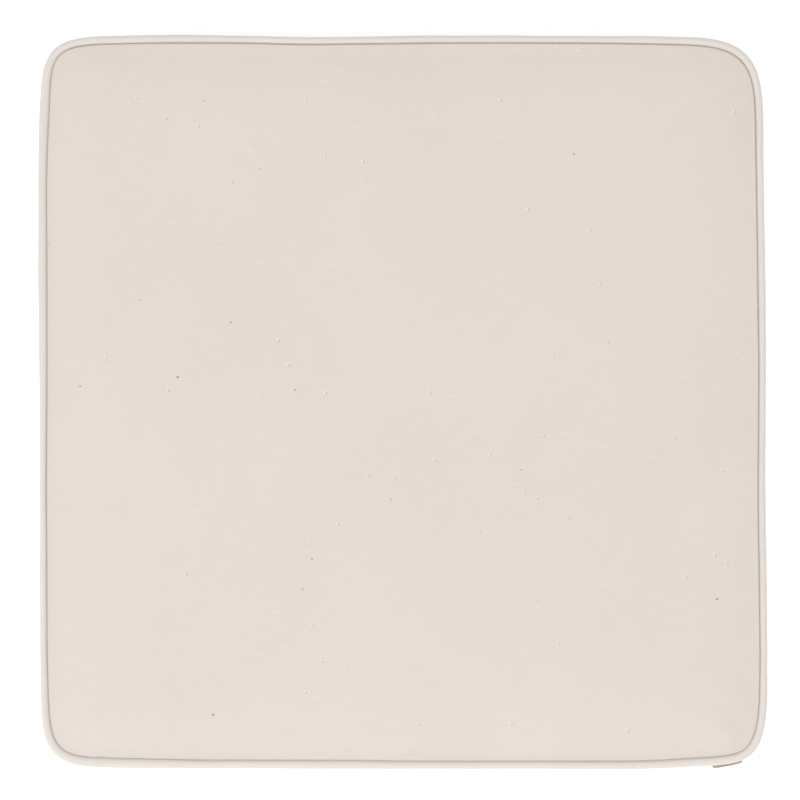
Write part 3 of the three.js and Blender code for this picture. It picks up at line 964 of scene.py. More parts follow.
@dataclass
class Panel:
    """The top or bottom panel: one square of canvas with its seam allowance turned in under it."""

    cover: PressedCover
    facing: Facing
    node: str
    finish: bpy.types.Material
    allowance: float = 10 * MM
    cell: float = 3.3 * MM
    lap: float = 0.35 * MM
    tuck: float = 0.15 * MM
    ring_insets: tuple[float, ...] = (
        0.0, 0.3, 0.7, 1.2, 1.8, 2.6, 3.6, 4.8, 6.2, 7.8, 9.6, 11.6, 13.8, 16.2, 18.9, 21.9,
    )

    def rings(self) -> tuple[np.ndarray, np.ndarray]:
        """The cut's rings from the middle out.

        Returns:
            Inset and drop below the rim of each ring; the drop is nan on the face itself.
        """
        near = np.array(self.ring_insets) * MM
        count = int(round((self.cover.depth - near[-1]) / self.cell))
        face = np.concatenate([near, np.linspace(near[-1], self.cover.depth, count + 1)[1:]])[::-1]
        under = np.array([0.03, 0.25, 1.2, 3.5, 7.0, self.allowance / MM]) * MM
        drop = np.array([0.08 * MM] + [self.tuck] * (len(under) - 1))
        return np.concatenate([face, under]), np.concatenate([np.full(len(face), np.nan), drop])

    def build(self) -> Piece:
        """Cut, fold and place the panel.

        Returns:
            The panel.
        """
        insets, drops = self.rings()
        cut = path_length(np.stack([insets, np.nan_to_num(drops)], 1))
        half = np.arange(len(insets))
        index = np.concatenate([-half[::-1], half[1:]])
        i, j = np.meshgrid(index, index, indexing="ij")
        signed = np.sign(index) * cut[np.abs(index)] / cut[-1]
        u, v = np.meshgrid(signed, signed, indexing="ij")
        place, _ = self.cover.panel_places(u, v)
        ring = np.maximum(np.abs(i), np.abs(j))
        inset, drop = insets[ring], drops[ring]
        share = 1 - inset / self.cover.depth
        points = self.cover.panel_base(place, share, self.facing)
        on_face = np.isnan(drop)
        out = self.facing.value
        rim = self.cover.level(np.zeros_like(inset), self.facing)
        lap = self.lap * smoothstep(inset, 0, 0.5 * MM) * bell(inset, 2.5 * MM)
        lap = np.where(share > 0.5, lap / self.cover.depth / np.maximum(share, 0.5), 0)
        points[..., :2] *= (1 + lap)[..., None]
        points[..., 2] = np.where(on_face, points[..., 2], rim - out * np.nan_to_num(drop))
        safe = np.where(ring > 0, np.maximum(np.abs(u), np.abs(v)), 1.0)
        a, b = u / safe * share, v / safe * share
        push = self.cover.panel_pushed(a, b, self.facing)
        points += np.where(on_face[..., None], push, 0)
        points[..., 2] += np.where(on_face, self._puckers(place, inset), 0) * out
        if self.facing is Facing.DOWN:
            points[..., 2] = np.maximum(points[..., 2], 0.0)
        threads = np.stack([np.sign(i) * cut[np.abs(i)], np.sign(j) * cut[np.abs(j)]], -1)
        # Painted shade in the groove beside the piping and a faint darkening over 5 mm inside the seam, scaled
        # side by side to how the light falls.
        seam_shade = bell(inset, 0.5 * MM) + 0.15 * bell(inset, 5 * MM)
        seam_shade = seam_shade * self.cover.outline.seam_shade_at(place)
        bm = bmesh.new()
        add_grid(bm, points, threads, np.clip(seam_shade, 0, 1), flip=self.facing is Facing.DOWN)
        piece = finish_mesh(bm, self.node + "_cloth")
        thicken(piece, CLOTH)
        dress(piece, self.finish)
        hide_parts(self.node)
        return piece

    def _puckers(self, place: np.ndarray, inset: np.ndarray) -> np.ndarray:
        """Small gathers that the seam draws into the cloth beside it, and the cloth's broad unevenness.

        Args:
            place: Outline places.
            inset: Distances inside the seam.

        Returns:
            How far the face stands out of its level.
        """
        run = self.cover.outline.run(place)
        near = bell(inset - 2.2 * MM, 3.2 * MM)
        small = ripple(run / (5.5 * MM), inset / (9 * MM), 3.1 + self.facing.value) * 0.10 * MM * near
        wide = ripple(run / (26 * MM), inset / (18 * MM), 8.4) * 0.22 * MM * bell(inset, 16 * MM)
        return (small + wide) * smoothstep(inset, 0, 1.2 * MM)


@dataclass
class Boxing:
    """The side band: one strip round three sides and the ends of the back.

    Its own ends are folded under beside the zip. The hem is that fold's section, as distance along
    the strip and depth below its face, in millimetres.
    """

    cover: PressedCover
    finish: bpy.types.Material
    low: float
    high: float
    zip_half: float
    lift: Callable[[np.ndarray], np.ndarray]
    allowance: float = 10 * MM
    cell: float = 2.8 * MM
    clear: float = 0.3 * MM
    turn: float = 0.35 * MM
    turn_run: float = 0.45 * MM
    hem: tuple[tuple[float, float], ...] = (
        (7.5, 1.5), (3.5, 1.5), (0.8, 1.5), (0.3, 1.32), (0.03, 1.0),
        (0.0, 0.72), (0.08, 0.4), (0.35, 0.12), (0.8, 0.0),
    )

    def levels(self) -> np.ndarray:
        """Set out the rows of the outer face.

        Returns:
            Their heights.
        """
        near = np.array([0.0, 0.35, 0.8, 1.5, 2.6, 4.2, 6.2, 8.6, 11.4, 14.6]) * MM
        middle = (self.low + self.high) / 2
        return np.concatenate([self.low + near, [middle], (self.high - near)[::-1]])

    def build(self) -> Piece:
        """Cut, fold and place the strip.

        Returns:
            The strip.
        """
        outline = self.cover.outline
        start = outline.place_of(Side.BACK, -self.zip_half - self.clear)
        end = outline.place_of(Side.BACK, self.zip_half + self.clear) + 4
        run = np.interp([start, end - 4], outline.places, outline.lengths)
        total = outline.lengths[-1] - (run[0] - run[1])
        hem = np.array(self.hem) * MM
        folded = int(hem[:, 0].argmin())
        count = int(round((total - 2 * hem[-1, 0]) / self.cell))
        middle = np.linspace(hem[-1, 0], total - hem[-1, 0], count + 1)[1:-1]
        along = np.concatenate([hem[:, 0], middle, (total - hem[:, 0])[::-1]])
        deep = np.concatenate([hem[:, 1], 0 * middle, hem[::-1, 1]])
        two_rounds = np.concatenate([outline.lengths, outline.lengths[1:] + outline.lengths[-1]])
        grown = np.interp(run[0] + along, two_rounds, np.concatenate([outline.places, outline.places[1:] + 4]))
        face = self.levels()
        inner = np.array([self.allowance / MM, 7.0, 3.5, 1.2, 0.5]) * MM
        rows = len(inner) + len(face) + len(inner)
        insets = np.concatenate([inner, np.zeros(len(face)), inner[::-1]])
        levels = np.concatenate([np.full(len(inner), self.low), face, np.full(len(inner), self.high)])
        k, r = knot_numbers(len(along), rows)
        place, inset, level, depth = grown[k], insets[r], levels[r], deep[k]
        on_face = (r >= len(inner)) & (r < len(inner) + len(face))
        from_low, from_high = level - self.low, self.high - level
        turn_in = self.turn * (np.exp(-from_low / self.turn_run) + np.exp(-from_high / self.turn_run))
        base = self.cover.side_base(place, level)
        push = self.cover.side_pushed(place, level)
        out = self._puckers(place, level) - turn_in - depth
        seam = self.cover.seam_inset + outline.gather_at(place)
        plan = outline.at(place, seam + np.where(on_face, 0, inset) - np.where(on_face, out, -depth))
        straight = outline.at(place, seam)
        swell = (base[..., :2] - straight) + push[..., :2] * self.cover.free(place)[..., None]
        plan = plan + np.where(on_face[..., None], swell, 0)
        ridden_up = self.lift(place) * np.clip(1 - (level - self.low) / (9 * MM), 0, 1) ** 2
        points = raised(plan, level + ridden_up)
        across = path_length(np.stack([insets, levels], 1))
        threads = np.stack([np.where(k < folded, -along[k], along[k]), across[r]], -1)
        room = np.minimum(level - self.low, self.high - level)
        # Painted shade along both seams, where the piping overhangs the band, and a fainter darkening over 5 mm.
        seam_shade = bell(room, 0.9 * MM) + 0.25 * bell(room, 5 * MM)
        bm = bmesh.new()
        add_grid(bm, points, threads, np.clip(seam_shade, 0, 1))
        piece = finish_mesh(bm, "boxing_strip_cloth")
        thicken(piece, CLOTH)
        dress(piece, self.finish)
        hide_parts("boxing_strip")
        return piece

    def _puckers(self, place: np.ndarray, level: np.ndarray) -> np.ndarray:
        """Small upright gathers beside both seams.

        Args:
            place: Outline places.
            level: Heights above the underside.

        Returns:
            How far the face stands out.
        """
        run = self.cover.outline.run(place)
        room = np.minimum(level - self.low, self.high - level)
        near = bell(room - 2.0 * MM, 4.5 * MM)
        small = ripple(run / (7.5 * MM), level / (20 * MM), 5.7) * 0.20 * MM * near
        wide = ripple(run / (38 * MM), level / (24 * MM), 1.9) * 0.45 * MM * smoothstep(room, 0, 10 * MM)
        return (small + wide) * smoothstep(room, 0.2 * MM, 1.5 * MM) * self.cover.free(place)


@dataclass
class Piping:
    """A run of piping in one seam: a bias strip folded round a twisted cord, its legs sewn in the seam."""

    outline: Outline
    level: float
    radius: float
    name: str
    cover_finish: bpy.types.Material
    cord_finish: bpy.types.Material
    legs: float = 10 * MM
    sway: float = 0.16 * MM
    cell: float = 2.6 * MM
    cord_pitch: float = 9 * MM
    neck: float = 0.36 * MM

    def _stray(self, place: np.ndarray) -> tuple[np.ndarray, np.ndarray]:
        """How the roll wanders along the seam.

        Args:
            place: Outline places.

        Returns:
            How far outwards and how far upwards it strays.
        """
        run = self.outline.run(np.mod(place, 4.0))
        seed = 20 * self.level / MM
        total = self.outline.lengths[-1]
        turn = 2 * math.pi * run / total
        side = ripple(np.cos(turn) * total / 0.19, np.sin(turn) * total / 0.19, seed)
        rise = ripple(np.cos(turn) * total / 0.24, np.sin(turn) * total / 0.24, seed + 9)
        return side * self.sway, rise * self.sway

    def build(self) -> list[Piece]:
        """Fold the cover and twist the cord."""
        return [self._cover(), self._cord()]

    def _places(self, cell: float) -> np.ndarray:
        """Evenly spaced places right round, the first again at the end."""
        count = int(round(self.outline.lengths[-1] / cell))
        even = np.linspace(0, self.outline.lengths[-1], count + 1)
        return np.interp(even, self.outline.lengths, self.outline.places)

    def _cover(self) -> Piece:
        """Fold the strip into a ring with two legs.

        Returns:
            The piping's cover.
        """
        r = self.radius
        dip = math.degrees(math.asin((self.neck + CLOTH * 0.9) / r))
        roll = arc((0, 0), r, -180 + dip, 180 - dip, 20)
        leg = [r + d * MM for d in (0.45, 1.4, 3.2, 6.0, 9.6)]
        leg_level = self.neck + CLOTH * 0.6
        path = np.array([(-x, -leg_level) for x in leg[::-1]] + roll + [(-x, leg_level) for x in leg])
        place = self._places(self.cell)
        k, j = knot_numbers(len(place), len(path))
        s = place[k]
        side, rise = self._stray(s)
        on_roll = (j >= len(leg)) & (j < len(leg) + len(roll))
        x, z = path[j, 0], path[j, 1]
        run = self.outline.run(np.mod(s, 4.0))
        angle = np.arctan2(z, x)
        crease = ripple(run / (4.2 * MM) + angle * 1.1, angle * 1.3, 2.2 + self.level) * 0.055 * MM
        grow = np.where(on_roll, 1 + crease / r, 1.0)
        wide = 1 + self.outline.gather_at(s) / (2 * r)
        inset = r * wide - np.where(on_roll, x * grow * wide + side, x + r - r * wide)
        plan = self.outline.at(s, inset)
        height = self.level + z * grow + np.where(on_roll, rise, 0)
        points = raised(plan, height)
        across = path_length(path)
        lengths = np.linspace(0, self.outline.lengths[-1], len(place))
        threads = np.stack([lengths[k], across[j]], -1)
        # Painted shade at the roll's neck where it meets the panel or band, scaled side by side to how the light
        # falls; the hidden legs take it in full.
        neck_shade = np.where(on_roll, smoothstep(np.abs(angle), math.radians(138), math.radians(166)), 1.0)
        neck_shade = neck_shade * self.outline.seam_shade_at(s)
        bm = bmesh.new()
        add_grid(bm, points, threads, neck_shade)
        piece = finish_mesh(bm, f"piping_{self.name}_cloth", merge=0.01 * MM)
        thicken(piece, CLOTH)
        dress(piece, self.cover_finish)
        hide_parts(f"piping_cover_{self.name}")
        return piece

    def _cord(self) -> Piece:
        """Lay three strands round each other into one ring.

        Returns:
            The cord.
        """
        low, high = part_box(f"piping_cord_{self.name}")
        radius = (high.z - low.z) / 2
        place = self._places(1.9 * MM)
        turns = np.linspace(0, 2 * math.pi, 13)
        k, j = knot_numbers(len(place), len(turns))
        lay = round(self.outline.lengths[-1] / self.cord_pitch)
        phase = turns[j] - 2 * math.pi * lay * k / (len(place) - 1)
        r = radius * (0.74 + 0.26 * np.abs(np.cos(1.5 * phase)) ** 0.6)
        s = place[k]
        side, rise = self._stray(s)
        middle = self.radius + self.outline.gather_at(s) / 2
        plan = self.outline.at(s, middle - r * np.cos(turns[j]) - side)
        points = raised(plan, self.level + r * np.sin(turns[j]) + rise)
        bm = bmesh.new()
        add_grid(bm, points)
        piece = finish_mesh(bm, f"piping_{self.name}_twist", merge=0.01 * MM)
        dress(piece, self.cord_finish)
        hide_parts(f"piping_cord_{self.name}")
        return piece


# ---------------------------------------------------------------- the zip


def add_stitches(bm: bmesh.types.BMesh, line: np.ndarray, outward: Vector, length: float = 2.3 * MM,
                 pitch: float = 3.1 * MM, thick: float = 0.42 * MM) -> None:
    """Lay a row of single stitches, each a small bead half sunk in the cloth.

    Args:
        bm: The mesh to add to.
        line: The row's path.
        outward: The way the stitches stand proud.
        length: Each stitch's length.
        pitch: From one stitch to the next.
        thick: The thread's thickness.
    """
    run = path_length(line)
    for n in range(int(run[-1] // pitch)):
        middle = (n + 0.5) * pitch
        ends = [Vector([np.interp(middle + d, run, line[:, k]) for k in range(3)])
                for d in (-0.5 * length, 0.5 * length)]
        along = (ends[1] - ends[0]).normalized()
        side = outward.cross(along).normalized()
        basis = Matrix((along, side, outward)).transposed().to_4x4()
        spread = Matrix.Diagonal((length / 2, thick / 2, thick * 0.42, 1.0))
        turn = basis @ spread @ Matrix.Rotation(math.pi / 2, 4, "Y")
        bmesh.ops.create_uvsphere(bm, u_segments=6, v_segments=5, radius=1.0,
                                  matrix=Matrix.Translation((ends[0] + ends[1]) / 2) @ turn)


@dataclass
class ZipOpening:
    """The back opening: two hemmed canvas strips, their tapes, the coil chain, stops, slider and pull."""

    cover: PressedCover
    canvas: bpy.types.Material
    thread: bpy.types.Material
    tape: bpy.types.Material
    nylon: bpy.types.Material
    nickel: bpy.types.Material
    fold: float = 0.75 * MM
    hem: float = 10 * MM
    coil_pitch: float = 1.5 * MM
    wire: float = 0.35 * MM
    meet: float = 0.22 * MM
    stitch_row: float = 2.4 * MM
    end_row: float = 2.6 * MM

    def build(self) -> list[Piece]:
        """Make every piece of the opening."""
        made = [self._strip(Facing.UP), self._strip(Facing.DOWN)]
        made += [self._tape(Facing.UP), self._tape(Facing.DOWN)]
        made += [self._coil(Facing.UP), self._coil(Facing.DOWN)]
        made.append(self._topstitch())
        for node in ("zip_bottom_stop", "zip_top_stop_upper", "zip_top_stop_lower"):
            made.append(self._metal(node, "pad", 0.18 * MM))
        made.append(self._metal("zip_slider", "slider", 0.13 * MM))
        made.append(self._metal("zip_pull", "pull", 0.16 * MM))
        return made

    def _strip(self, facing: Facing) -> Piece:
        """One hemmed strip beside the mouth.

        Args:
            facing: UP for the strip above the chain, DOWN for the one below.

        Returns:
            The strip.
        """
        node = "zip_panel_upper" if facing is Facing.UP else "zip_panel_lower"
        low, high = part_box(node)
        face, inner = high.y, low.y
        back = face - 2 * self.fold
        mouth, seam, sign = (low.z, high.z, 1) if facing is Facing.UP else (high.z, low.z, -1)
        turn = [(y, z * sign) for y, z in arc((face - self.fold, 0), self.fold, -180, 0, 8)]
        fold = [(y, mouth + sign * self.fold + z) for y, z in turn]
        hem = [(back, mouth + sign * d * MM) for d in (self.hem / MM, 7.5, 5.0, 3.0, 1.6)]
        up = [(face, mouth + sign * d * MM) for d in (1.6, 2.4, 3.4, 5.0, 7.0, 9.0, 11.0, 12.4, 13.2)]
        rim = [(face - d * MM, seam - sign * e * MM) for d, e in ((0.06, 0.35), (0.25, 0.08), (0.6, 0.0))]
        legs = [(y, seam) for y in (face - 2.5 * MM, face - 5.5 * MM, inner)]
        path = np.array(hem + fold + up + rim + legs)
        if facing is Facing.DOWN:
            path = path[::-1]
        across = path_length(path)
        x = np.linspace(high.x, low.x, 129)
        k, j = knot_numbers(len(x), len(path))
        y, z = path[j, 0].copy(), path[j, 1].copy()
        room = np.abs(z - mouth)
        outer = y > face - 0.3 * MM
        swell = 0.30 * MM + ripple(x[k] / (21 * MM), z / (14 * MM), 4.4 + facing.value) * 0.22 * MM
        swell = swell * smoothstep(room, 2.2 * MM, 6 * MM) * smoothstep(np.abs(z - seam), 0, 3 * MM)
        y += np.where(outer, swell, 0)
        sink = 0.16 * MM * bell(room - self.stitch_row, 0.5 * MM)
        y -= np.where(outer, sink, 0)
        outline = self.cover.outline
        place = outline.place_of(Side.BACK, x)[k]
        y += (outline.waver_at(place) - outline.gather_at(place)) * smoothstep(room, 6 * MM, 13 * MM)
        points = np.stack([x[k], y, z], -1)
        bm = bmesh.new()
        # Darker at the fold by the mouth, and painted shade along the seam under the piping.
        mouth_dark_and_seam_shade = 0.45 * (1 - smoothstep(room, 0.0, 1.2 * MM)) + bell(z - seam, 0.9 * MM)
        add_grid(bm, points, np.stack([x[k], across[j]], -1), np.clip(mouth_dark_and_seam_shade, 0, 1))
        piece = finish_mesh(bm, node + "_cloth")
        thicken(piece, CLOTH)
        dress(piece, self.canvas)
        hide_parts(node)
        return piece

    def _tape(self, facing: Facing) -> Piece:
        """One woven zip tape, with the corded edge that the coil is sewn to.

        Args:
            facing: UP for the tape above the chain, DOWN for the one below.

        Returns:
            The tape.
        """
        name = "upper" if facing is Facing.UP else "lower"
        low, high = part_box(f"zip_tape_{name}")
        sign = facing.value
        near, far = (low.z, high.z) if sign > 0 else (high.z, low.z)
        steps = np.array([0.0, 0.25, 0.6, 1.0, 1.4, 2.2, 3.5, 5.5, 8.5, 11.5, abs(far - near) / MM]) * MM
        x = np.linspace(high.x, low.x, 221)
        k, j = knot_numbers(len(x), len(steps))
        d = steps[j]
        middle = (low.y + high.y) / 2
        cord = 0.14 * MM * bell(d - 0.6 * MM, 0.35 * MM)
        points = np.stack([x[k], middle + cord, near + sign * d], -1)
        bm = bmesh.new()
        add_grid(bm, points, np.stack([x[k], d], -1), flip=sign < 0)
        piece = finish_mesh(bm, f"zip_tape_{name}_weave")
        thicken(piece, high.y - low.y, 0.0)
        dress(piece, self.tape)
        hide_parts(f"zip_tape_{name}")
        return piece

    def _coil(self, facing: Facing) -> Piece:
        """One row of the chain: a continuous nylon coil whose heads reach between those of the other row.

        Args:
            facing: UP for the upper row, DOWN for the lower one.

        Returns:
            The coil.
        """
        name = "upper" if facing is Facing.UP else "lower"
        low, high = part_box(f"zip_coil_{name}")
        slider_low, slider_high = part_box("zip_slider")
        sign = facing.value
        outer = high.z if sign > 0 else low.z
        inner = low.z if sign > 0 else high.z
        centre = (slider_low.z + slider_high.z) / 2
        start, end = low.x + self.wire, high.x - self.wire
        turns = int((end - start) // self.coil_pitch)
        steps = 10
        phase = np.linspace(0, 2 * math.pi * turns, turns * steps + 1) + (math.pi if sign < 0 else 0)
        x = np.linspace(end, start, turns * steps + 1)
        parted = smoothstep(x, slider_low.x - 2 * MM, slider_low.x + 4 * MM)
        head = (centre - sign * self.meet) * (1 - parted) + inner * parted
        reach_out = outer - sign * self.wire
        reach_in = head + sign * self.wire
        zc, rz = (reach_out + reach_in) / 2, np.abs(reach_out - reach_in) / 2
        yc, ry = (low.y + high.y) / 2, (high.y - low.y) / 2 - self.wire
        spine = np.stack([x, yc + ry * np.sin(phase), zc + sign * rz * np.cos(phase)], -1)
        tangent = np.gradient(spine, axis=0)
        tangent /= np.linalg.norm(tangent, axis=1)[:, None]
        side = np.cross(tangent, [1.0, 0, 0])
        side /= np.linalg.norm(side, axis=1)[:, None]
        other = np.cross(tangent, side)
        around = np.linspace(0, 2 * math.pi, 6)
        ring = np.cos(around)[None, :, None] * side[:, None] + np.sin(around)[None, :, None] * other[:, None]
        points = spine[:, None] + self.wire * ring
        bm = bmesh.new()
        add_grid(bm, points)
        bmesh.ops.remove_doubles(bm, verts=bm.verts, dist=0.005 * MM)
        bmesh.ops.holes_fill(bm, edges=bm.edges, sides=6)
        bmesh.ops.recalc_face_normals(bm, faces=bm.faces)
        piece = finish_mesh(bm, f"zip_coil_{name}_teeth")
        dress(piece, self.nylon)
        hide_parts(f"zip_coil_{name}")
        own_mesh(piece)
        return piece

    def _topstitch(self) -> Piece:
        """Rows of stitching along both folds, and down the folded ends of the side band.

        Returns:
            All the stitches as one piece.
        """
        bm = bmesh.new()
        for node, edge in (("zip_panel_upper", 1), ("zip_panel_lower", -1)):
            low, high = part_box(node)
            mouth = low.z if edge > 0 else high.z
            x = np.linspace(high.x - 1 * MM, low.x + 1 * MM, 60)
            line = np.stack([x, np.full(60, high.y - 0.12 * MM), np.full(60, mouth + edge * self.stitch_row)], -1)
            add_stitches(bm, line, Vector((0, 1, 0)))
        low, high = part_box("zip_panel_upper")
        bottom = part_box("zip_panel_lower")[0].z
        for x in (high.x + self.end_row, low.x - self.end_row):
            z = np.linspace(bottom + 1.5 * MM, high.z - 1.5 * MM, 30)
            line = np.stack([np.full(30, x), np.full(30, high.y - 0.02 * MM), z], -1)
            add_stitches(bm, line, Vector((0, 1, 0)))
        piece = finish_mesh(bm, "zip_topstitch")
        return dress(piece, self.thread)

    def _metal(self, node: str, body: str, edge: float) -> Piece:
        """A zip fitting with its edges eased.

        Args:
            node: The frame node it stands for.
            body: The body it moves with.
            edge: How far its edges are eased.

        Returns:
            The fitting.
        """
        bm = bmesh.new()
        bm.from_mesh(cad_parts[node].data)
        bmesh.ops.remove_doubles(bm, verts=bm.verts, dist=0.002 * MM)
        bmesh.ops.dissolve_limit(bm, angle_limit=math.radians(4), verts=bm.verts, edges=bm.edges)
        sharp = [e for e in bm.edges if len(e.link_faces) == 2 and e.calc_face_angle() > math.radians(32)
                 and e.calc_length() > edge * 2.2]
        bmesh.ops.bevel(bm, geom=sharp, offset=edge * 0.5, affect="EDGES", segments=2, profile=0.5,
                        material=-1, clamp_overlap=True)
        piece = finish_mesh(bm, node + "_body")
        for face in piece.data.polygons:
            face.use_smooth = False
        dress(piece, self.nickel, body)
        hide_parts(node)
        return piece


# ---------------------------------------------------------------- the filling


@dataclass
class Stuffing:
    """The foam block and the two wadding pads that give the cover its shape."""

    cover: PressedCover
    foam: bpy.types.Material
    wadding: bpy.types.Material
    gap: float = 0.3 * MM
    chain_level: float = 25 * MM
    pad_inset: float = 10.8 * MM
    cells: int = 60
    foam_rows: tuple[float, ...] = (
        0, 0.4, 1, 2, 4, 7, 10, 11.8, 12.6, 13.4, 16, 20, 22.6, 23.4, 24.4, 28, 32, 34, 35.1, 35.7, 36.1,
    )

    def build(self) -> list[Piece]:
        """Make the foam and both pads."""
        return [self._foam(), self._pad(Facing.UP), self._pad(Facing.DOWN)]

    def _closed(self, name: str, rim: Plan, top: Plan, bottom: Plan, levels: np.ndarray) -> Piece:
        """A closed block from a top, a bottom and a side band.

        Args:
            name: The piece's name.
            rim: Plan points of the side for places and levels.
            top: Height of the top for places and shares.
            bottom: Height of the bottom for places and shares.
            levels: Shares from 0 to 1 of the way up the side.

        Returns:
            The block.
        """
        signed = np.linspace(-1, 1, 2 * self.cells + 1)
        u, v = np.meshgrid(signed, signed, indexing="ij")
        place, share = self.cover.panel_places(u, v)
        bm = bmesh.new()
        for height, t, flip in ((top, 1.0, False), (bottom, 0.0, True)):
            edge = rim(place, np.full_like(place, t))
            add_grid(bm, raised(edge * share[..., None], height(place, share)), flip=flip)
        s, t = np.meshgrid(right_round(signed), levels, indexing="ij")
        one = np.ones_like(s)
        z = bottom(s, one) * (1 - t) + top(s, one) * t
        add_grid(bm, raised(rim(s, t), z))
        bmesh.ops.remove_doubles(bm, verts=bm.verts, dist=0.02 * MM)
        bmesh.ops.recalc_face_normals(bm, faces=bm.faces)
        return finish_mesh(bm, name)

    def _foam(self) -> Piece:
        """The block, with a channel along the back that clears the zip.

        Returns:
            The foam.
        """
        low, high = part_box("foam_core")
        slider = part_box("zip_slider")
        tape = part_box("zip_tape_upper")
        outline = self.cover.outline
        inset = outline.half_x - high.x
        span = high.z - low.z
        soft = 0.9 * MM

        def rim(place: np.ndarray, t: np.ndarray) -> np.ndarray:
            """Plan points of the side at places and at shares of the way up."""
            turn = np.mod(place, 4.0)
            x = outline.at(turn, np.zeros_like(turn))[..., 0]
            past_tape = smoothstep(np.abs(x), tape[1].x + 4 * MM, tape[1].x + 10 * MM)
            at_zip = ((turn > 1) & (turn < 2)) * (1 - past_tape)
            z = low.z + t * span
            beside = outline.half_y - tape[0].y + self.gap - inset
            behind = outline.half_y - slider[0].y + self.gap - inset
            near = 1 - smoothstep(np.abs(z - self.chain_level), 5.2 * MM, 6.4 * MM)
            round_off = 1.2 * MM * (np.exp(-t * span / soft) + np.exp(-(1 - t) * span / soft))
            swept = inset + outline.gather_at(place) * (1 - at_zip)
            channel = at_zip * (beside + (behind - beside) * near)
            return outline.at(place, swept + round_off + channel, 1 - at_zip)

        def top(place: np.ndarray, share: np.ndarray) -> np.ndarray:
            """The flat top's height."""
            return np.full_like(place, high.z)

        def bottom(place: np.ndarray, share: np.ndarray) -> np.ndarray:
            """The flat bottom's height."""
            return np.full_like(place, low.z)

        levels = np.array(self.foam_rows) / self.foam_rows[-1]
        piece = self._closed("foam_block", rim, top, bottom, levels)
        dress(piece, self.foam)
        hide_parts("foam_core")
        return piece

    def _pad(self, facing: Facing) -> Piece:
        """One wadding pad between the foam and a panel.

        Args:
            facing: UP for the pad under the top panel, DOWN for the one over the bottom panel.

        Returns:
            The pad.
        """
        name = facing.name.lower()
        node = "wadding_top" if facing is Facing.UP else "wadding_bottom"
        low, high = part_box(node)
        outline, cover = self.cover.outline, self.cover
        edge = self.pad_inset
        sign = facing.value

        def rim(place: np.ndarray, t: np.ndarray) -> np.ndarray:
            """Plan points of the side at places and at shares of the way up."""
            round_off = 1.4 * MM * (1 - np.sqrt(np.clip(1 - (2 * t - 1) ** 2, 0, 1)))
            return outline.at(place, cover.seam_inset + outline.gather_at(place) + edge + round_off)

        def outer(place: np.ndarray, share: np.ndarray) -> np.ndarray:
            """The height of the face that lies against the panel."""
            whole = (1 - edge / cover.depth) * share
            height = cover.level((1 - whole) * cover.depth, facing)
            turn = np.mod(place, 4.0)
            t = 2 * (turn - np.floor(turn)) - 1
            side = np.floor(turn).astype(int) % 4
            u = np.choose(side, [np.ones_like(t), -t, -np.ones_like(t), t]) * whole
            v = np.choose(side, [t, np.ones_like(t), -t, -np.ones_like(t)]) * whole
            push = cover.panel_pushed(u, v, facing)[..., 2]
            face = height + push
            if facing is Facing.DOWN:
                face = np.maximum(face, 0.0)
            return face - sign * (CLOTH + self.gap)

        def inner(place: np.ndarray, share: np.ndarray) -> np.ndarray:
            """The height of the face that lies against the foam."""
            return np.full_like(place, low.z if sign > 0 else high.z)

        top, bottom = (outer, inner) if sign > 0 else (inner, outer)
        levels = np.array([0, 0.12, 0.3, 0.5, 0.7, 0.88, 1.0])
        piece = self._closed(f"wadding_pad_{name}", rim, top, bottom, levels)
        dress(piece, self.wadding)
        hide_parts(node)
        return piece


# ---------------------------------------------------------------- the leather tab


